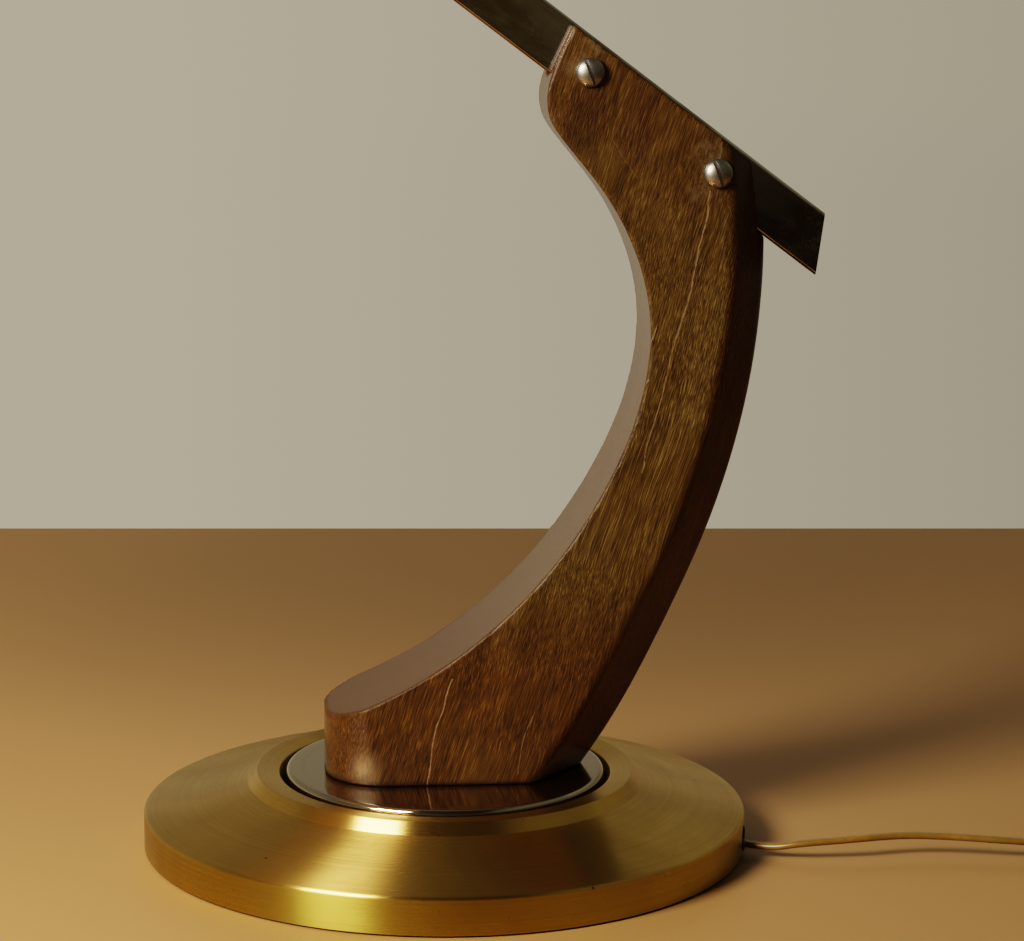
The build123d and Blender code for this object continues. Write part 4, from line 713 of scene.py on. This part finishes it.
# --------------------------------------------------------------- base cover
cone_t = 1.5 * math.sqrt(1 + 0.25 ** 2)
cover_pts = [(112.5, 0.6), (112.5, 14.225), (73.8, 23.9), (70.4, 28.3), (61.9, 27.5), (61.9, 21.0), (63.4, 21.0),
             (63.4, 26.14), (69.71, 26.73), (72.93, 22.57), (111.0, 14.6 - cone_t), (111.0, 0.6)]
cover_rad = [0.3, 1.6, 0.7, 0.6, 0.7, 0.2, 0.2, 0, 0, 0, 0, 0.2]
cover_profile = []
ring_pts = rounded(cover_pts, cover_rad, 7)
# extra rings along the long straight runs keep the shading even
for (r0, z0), (r1, z1) in zip(ring_pts, ring_pts[1:] + ring_pts[:1]):
    n = max(1, int(math.hypot(r1 - r0, z1 - z0) / 4.0))
    cover_profile += [(r0 + (r1 - r0) * i / n, z0 + (z1 - z0) * i / n) for i in range(n)]
cover = lathe("base_cover_spun", cover_profile, 360)
radial = Vector((math.cos(FLEX_AZ), math.sin(FLEX_AZ), 0))
side = Vector((-math.sin(FLEX_AZ), math.cos(FLEX_AZ), 0))
hole = prism("hole_tool", oval(6.4, 9.4), (radial * 105.0 + Vector((0, 0, 6.1)), side, (0, 0, 1), radial), 0.0, 12.0)
cut(cover, hole)
by_angle(cover, 35)
paint(cover, brass)
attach(cover, "base")
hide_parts("base_cover")

# -------------------------------------------------------------------- disc
disc_profile = rounded([(7.0, 29.0), (7.0, 25.0), (59.7, 25.0), (59.7, 29.0)], [0, 0, 0.4, 2.5], 8)
full = []
for (r0, z0), (r1, z1) in zip(disc_profile, disc_profile[1:] + disc_profile[:1]):
    n = max(1, int(math.hypot(r1 - r0, z1 - z0) / 4.0))
    full += [(r0 + (r1 - r0) * i / n, z0 + (z1 - z0) * i / n) for i in range(n)]
disc = lathe("turntable_plated", full, 300)
by_angle(disc, 35)
paint(disc, chrome_disc)
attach(disc, "stem")
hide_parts("turntable_disc")


# -------------------------------------------------------------------- stem
def worn_stem():
    src = NODES["stem"]
    ob = bpy.data.objects.new("stem_wood", src.data.copy())
    scene.collection.objects.link(ob)
    md = ob.modifiers.new("remesh", "REMESH")
    md.mode = "VOXEL"
    md.voxel_size = 0.0008
    md.adaptivity = 0.0
    bpy.context.view_layer.update()
    apply_modifiers(ob)
    me = ob.data
    n = len(me.vertices)
    co = np.zeros(n * 3)
    me.vertices.foreach_get("co", co)
    co = co.reshape(-1, 3)
    e = np.zeros(len(me.edges) * 2, int)
    me.edges.foreach_get("vertices", e)
    e = e.reshape(-1, 2)
    deg = np.bincount(e.ravel(), minlength=n).astype(float)[:, None]

    def average(v):
        s = np.zeros_like(v)
        np.add.at(s, e[:, 0], v[e[:, 1]])
        np.add.at(s, e[:, 1], v[e[:, 0]])
        return s / deg

    # smooth without shrinking: pairs of inward and outward steps
    for _ in range(6):
        co = co + 0.5 * (average(co) - co)
        co = co - 0.52 * (average(co) - co)
    me.vertices.foreach_set("co", co.ravel())
    me.update()
    nor = np.zeros(n * 3)
    me.vertices.foreach_get("normal", nor)
    nor = nor.reshape(-1, 3)
    flow = co.copy()
    for _ in range(5):
        flow = average(flow)
    curv = np.einsum("ij,ij->i", co - flow, nor) * 1000.0    # above zero on outward edges
    wear = np.clip(curv / 0.35, 0, 1)[:, None]
    for _ in range(2):
        wear = average(wear)
    at = me.attributes.new("edge_wear", "FLOAT", "POINT")
    at.data.foreach_set("value", wear.ravel().astype(np.float32))
    for f in me.polygons:
        f.use_smooth = True
    return ob


stem = worn_stem()
paint(stem, wood)
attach(stem, "stem")
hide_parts("stem")


# --------------------------------------------------------- domed slotted heads
def slotted_head(name, x, y, z, outward, lean, radius=5.25, wall=1.7, height=4.7, slot_w=1.3):
    """A raised head on the plane y, its slot leaning from upright with its top towards -X."""
    prof = [(0, 0), (radius, 0), (radius, wall * 0.5), (radius, wall)]
    for k in range(1, 17):
        a = math.pi / 2 * k / 16
        prof.append((radius * math.cos(a) ** 0.96, wall + (height - wall) * math.sin(a)))
    prof[-1] = (0, height)
    prof = [(r, outward * h) for r, h in prof]
    ob = lathe(name, prof, 96, closed=False, axis="Y", origin=(x, y, z))
    a = math.radians(lean)
    u = Vector((-math.sin(a), 0, math.cos(a)))
    v = Vector((math.cos(a), 0, math.sin(a)))
    tool = prism("slot_tool", [(-9, -slot_w / 2), (9, -slot_w / 2), (9, slot_w / 2), (-9, slot_w / 2)],
                 ((x, y, z), u, v, (0, outward, 0)), height - 1.85, height + 2.0)
    cut(ob, tool)
    md = ob.modifiers.new("bevel", "BEVEL")
    md.width = 0.00012
    md.segments = 2
    md.limit_method = "ANGLE"
    md.angle_limit = math.radians(50)
    apply_modifiers(ob)
    by_angle(ob, 40)
    return ob


def half_width(z):
    return (57.0 + (27.2 - 57.0) * (z - 29.0) / 286.0) / 2


heads, nuts = [], []
for i, ((sx, sz), lean) in enumerate((((50.0, 288.0), 22.5), ((96.5, 252.1), 20.5)), 1):
    fy = half_width(sz) - 0.35
    a = slotted_head("arm_screw_%d" % i, sx, -fy, sz, -1, lean)
    b = slotted_head("sleeve_nut_%d" % i, sx, fy, sz, 1, -lean - 30)
    heads.append(a)
    nuts.append(b)
    for o in (a, b):
        paint(o, nickel)
        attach(o, "stem")
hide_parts("arm_screws")
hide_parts("sleeve_nuts")

# ------------------------------------------------------- carried-over nodes
FINISH = {
    "felt_pad": felt, "base_plate": steel, "rim_lugs": steel, "base_screws": steel, "ballast": iron,
    "base_stop_pin": steel, "pivot_bush": brass_small, "thrust_washer": fibre, "flex_grommet": rubber,
    "base_lead": lead, "flex_clamp": bakelite, "plug_body": brown, "plug_pins": nickel,
    "disc_stop_pin": steel, "pivot_tube": steel, "pivot_nut": steel, "spring_washer": steel, "stem_screws": steel,
    "arm": arm_metal, "arm_end_plug": arm_metal, "stem_lead": lead, "arm_fork": brass_small,
    "tilt_bolt": brass_small, "tilt_cap_nut": brass_small, "tilt_tongue": brass_small,
    "friction_washers": fibre, "neck_tube": brass_small, "neck_collar": brass_small, "shade": brass_head,
    "shade_cap": brass_small, "shade_nut": steel, "socket_bridge": steel, "bridge_nuts": steel,
    "lampholders": bakelite, "lamp_caps": nickel, "lamp_glass": frosted, "terminal_block": ceramic,
    "head_lead": lead, "diffuser_ring": brass_small, "diffuser": opal, "ring_screws": brass_small,
    "switch_body": bakelite, "switch_ring_nut": brass_small, "switch_button": bakelite,
}
for name, mat in FINISH.items():
    ob = NODES[name]
    ob.data.materials.clear()
    ob.data.materials.append(mat)

# ------------------------------------------------------------------- floor
FRONT = -450.0


def floor_piece(name, x0, x1, y0, y1, lean=0.0):
    return new_object(name, [mm(x0, y0, 0), mm(x1, y0, 0), mm(x1, y1 + lean * x1, 0), mm(x0, y1 + lean * x0, 0)],
                      [(0, 1, 2, 3)], smooth=False)


fg = Graph("pale_floor")
fp = fg.coords()
fg.set(color=fg.mix(fg.noise(fp, 0.004, 3.0), (0.338, 0.190, 0.072), (0.318, 0.176, 0.066)), rough=0.5, spec=0.3,
       normal=fg.bump(fg.noise(fp, 0.8, 3.0), 0.02))
floor = floor_piece("floor", -6000, 6000, FRONT, 572.7, -0.0625)
floor_front = floor_piece("floor_front", -6000, 6000, -6000, FRONT)
floor_front.visible_glossy = False      # the polished faces mirror a dim room in front, as a black card would give
for ob in (floor, floor_front):
    paint(ob, fg.mat)


# ------------------------------------------------------------------- lights
def softbox(name, place, size, radiance, colour=(1, 1, 1), target=(0.0, 0.0, 0.10)):
    """A rectangular light at a place, in metres, that faces a target."""
    d = Vector(place) - Vector(target)
    data = bpy.data.lights.new(name, "AREA")
    data.shape = "RECTANGLE"
    data.size, data.size_y = size
    data.energy = radiance * size[0] * size[1] * math.pi
    data.color = colour
    ob = bpy.data.objects.new(name, data)
    scene.collection.objects.link(ob)
    ob.location = Vector(place)
    ob.rotation_euler = d.to_track_quat("Z", "Y").to_euler()
    return ob


softbox("key", (-0.490, -0.455, 0.541), (0.31, 0.29), 40.0, (1.0, 0.935, 0.85))
top_fill = softbox("top_fill", (-0.1, 1.30, 0.70), (1.7, 0.5), 1.95, (1.0, 0.94, 0.84), (0.0, 0.55, 0.0))
top_fill.visible_camera = False
top_fill.visible_glossy = False     # only soft light on the table behind, no second highlight

world = bpy.data.worlds.new("studio")
scene.world = world
world.use_nodes = True
wg = Graph("studio", world.node_tree)
w_dir = wg.node("ShaderNodeTexCoord").outputs["Generated"]
wx, wy, wz = wg.split(w_dir)
# a pale wall behind and to the left, a dim room in front and above
behind = wg.remap(wy, -0.35, 0.45, 0.0, 1.0, smooth=True)
leftish = wg.remap(wx, -1.0, 0.2, 0.55, 0.0, smooth=True)
wall = wg.math("MAXIMUM", behind, leftish)
high = wg.math("MULTIPLY", wg.remap(wz, 0.02, 0.24, 1.0, 0.52, smooth=True),
               wg.math("MULTIPLY", wg.remap(wz, 0.26, 0.42, 1.0, 0.80, smooth=True),
                       wg.remap(wz, 0.58, 0.70, 1.0, 0.70, smooth=True)))
side_fall = wg.remap(wx, -0.10, 0.62, 1.07, 0.42)
level = wg.math("MULTIPLY", wg.math("MULTIPLY", wall, high), side_fall)
dim = wg.mix(wg.remap(wz, -0.10, -0.055, 0.0, 1.0, smooth=True), (0.017, 0.011, 0.008), (0.068, 0.054, 0.027))
dim = wg.mix(wg.remap(wz, 0.05, 0.5, 0.0, 1.0, smooth=True), dim, (0.022, 0.020, 0.017))
w_col = wg.mix(level, dim, (0.405, 0.360, 0.272))
upper_right = wg.math("MULTIPLY", wg.remap(wx, 0.30, 0.62, 0.0, 1.0, smooth=True), wg.remap(wz, 0.18, 0.45, 0.0, 1.0, smooth=True))
w_col = wg.mix(upper_right, w_col, (0.140, 0.135, 0.100))
card = wg.math("ADD", wx, wg.math("MULTIPLY", wy, 1.11))
card = wg.math("MULTIPLY", wg.remap(card, 1.055, 1.095, 0.0, 1.0, smooth=True), wg.remap(wz, 0.30, 0.42, 0.0, 1.0, smooth=True))
w_col = wg.mix(card, w_col, (0.062, 0.060, 0.045), "ADD")
w_bg = wg.node("ShaderNodeBackground", {"Color": w_col, "Strength": 1.0})
w_out = wg.node("ShaderNodeOutputWorld", {0: w_bg.outputs[0]})

scene.view_settings.view_transform = "Filmic"
scene.view_settings.look = "High Contrast"
scene.view_settings.exposure = 0.0
scene.view_settings.gamma = 1.0
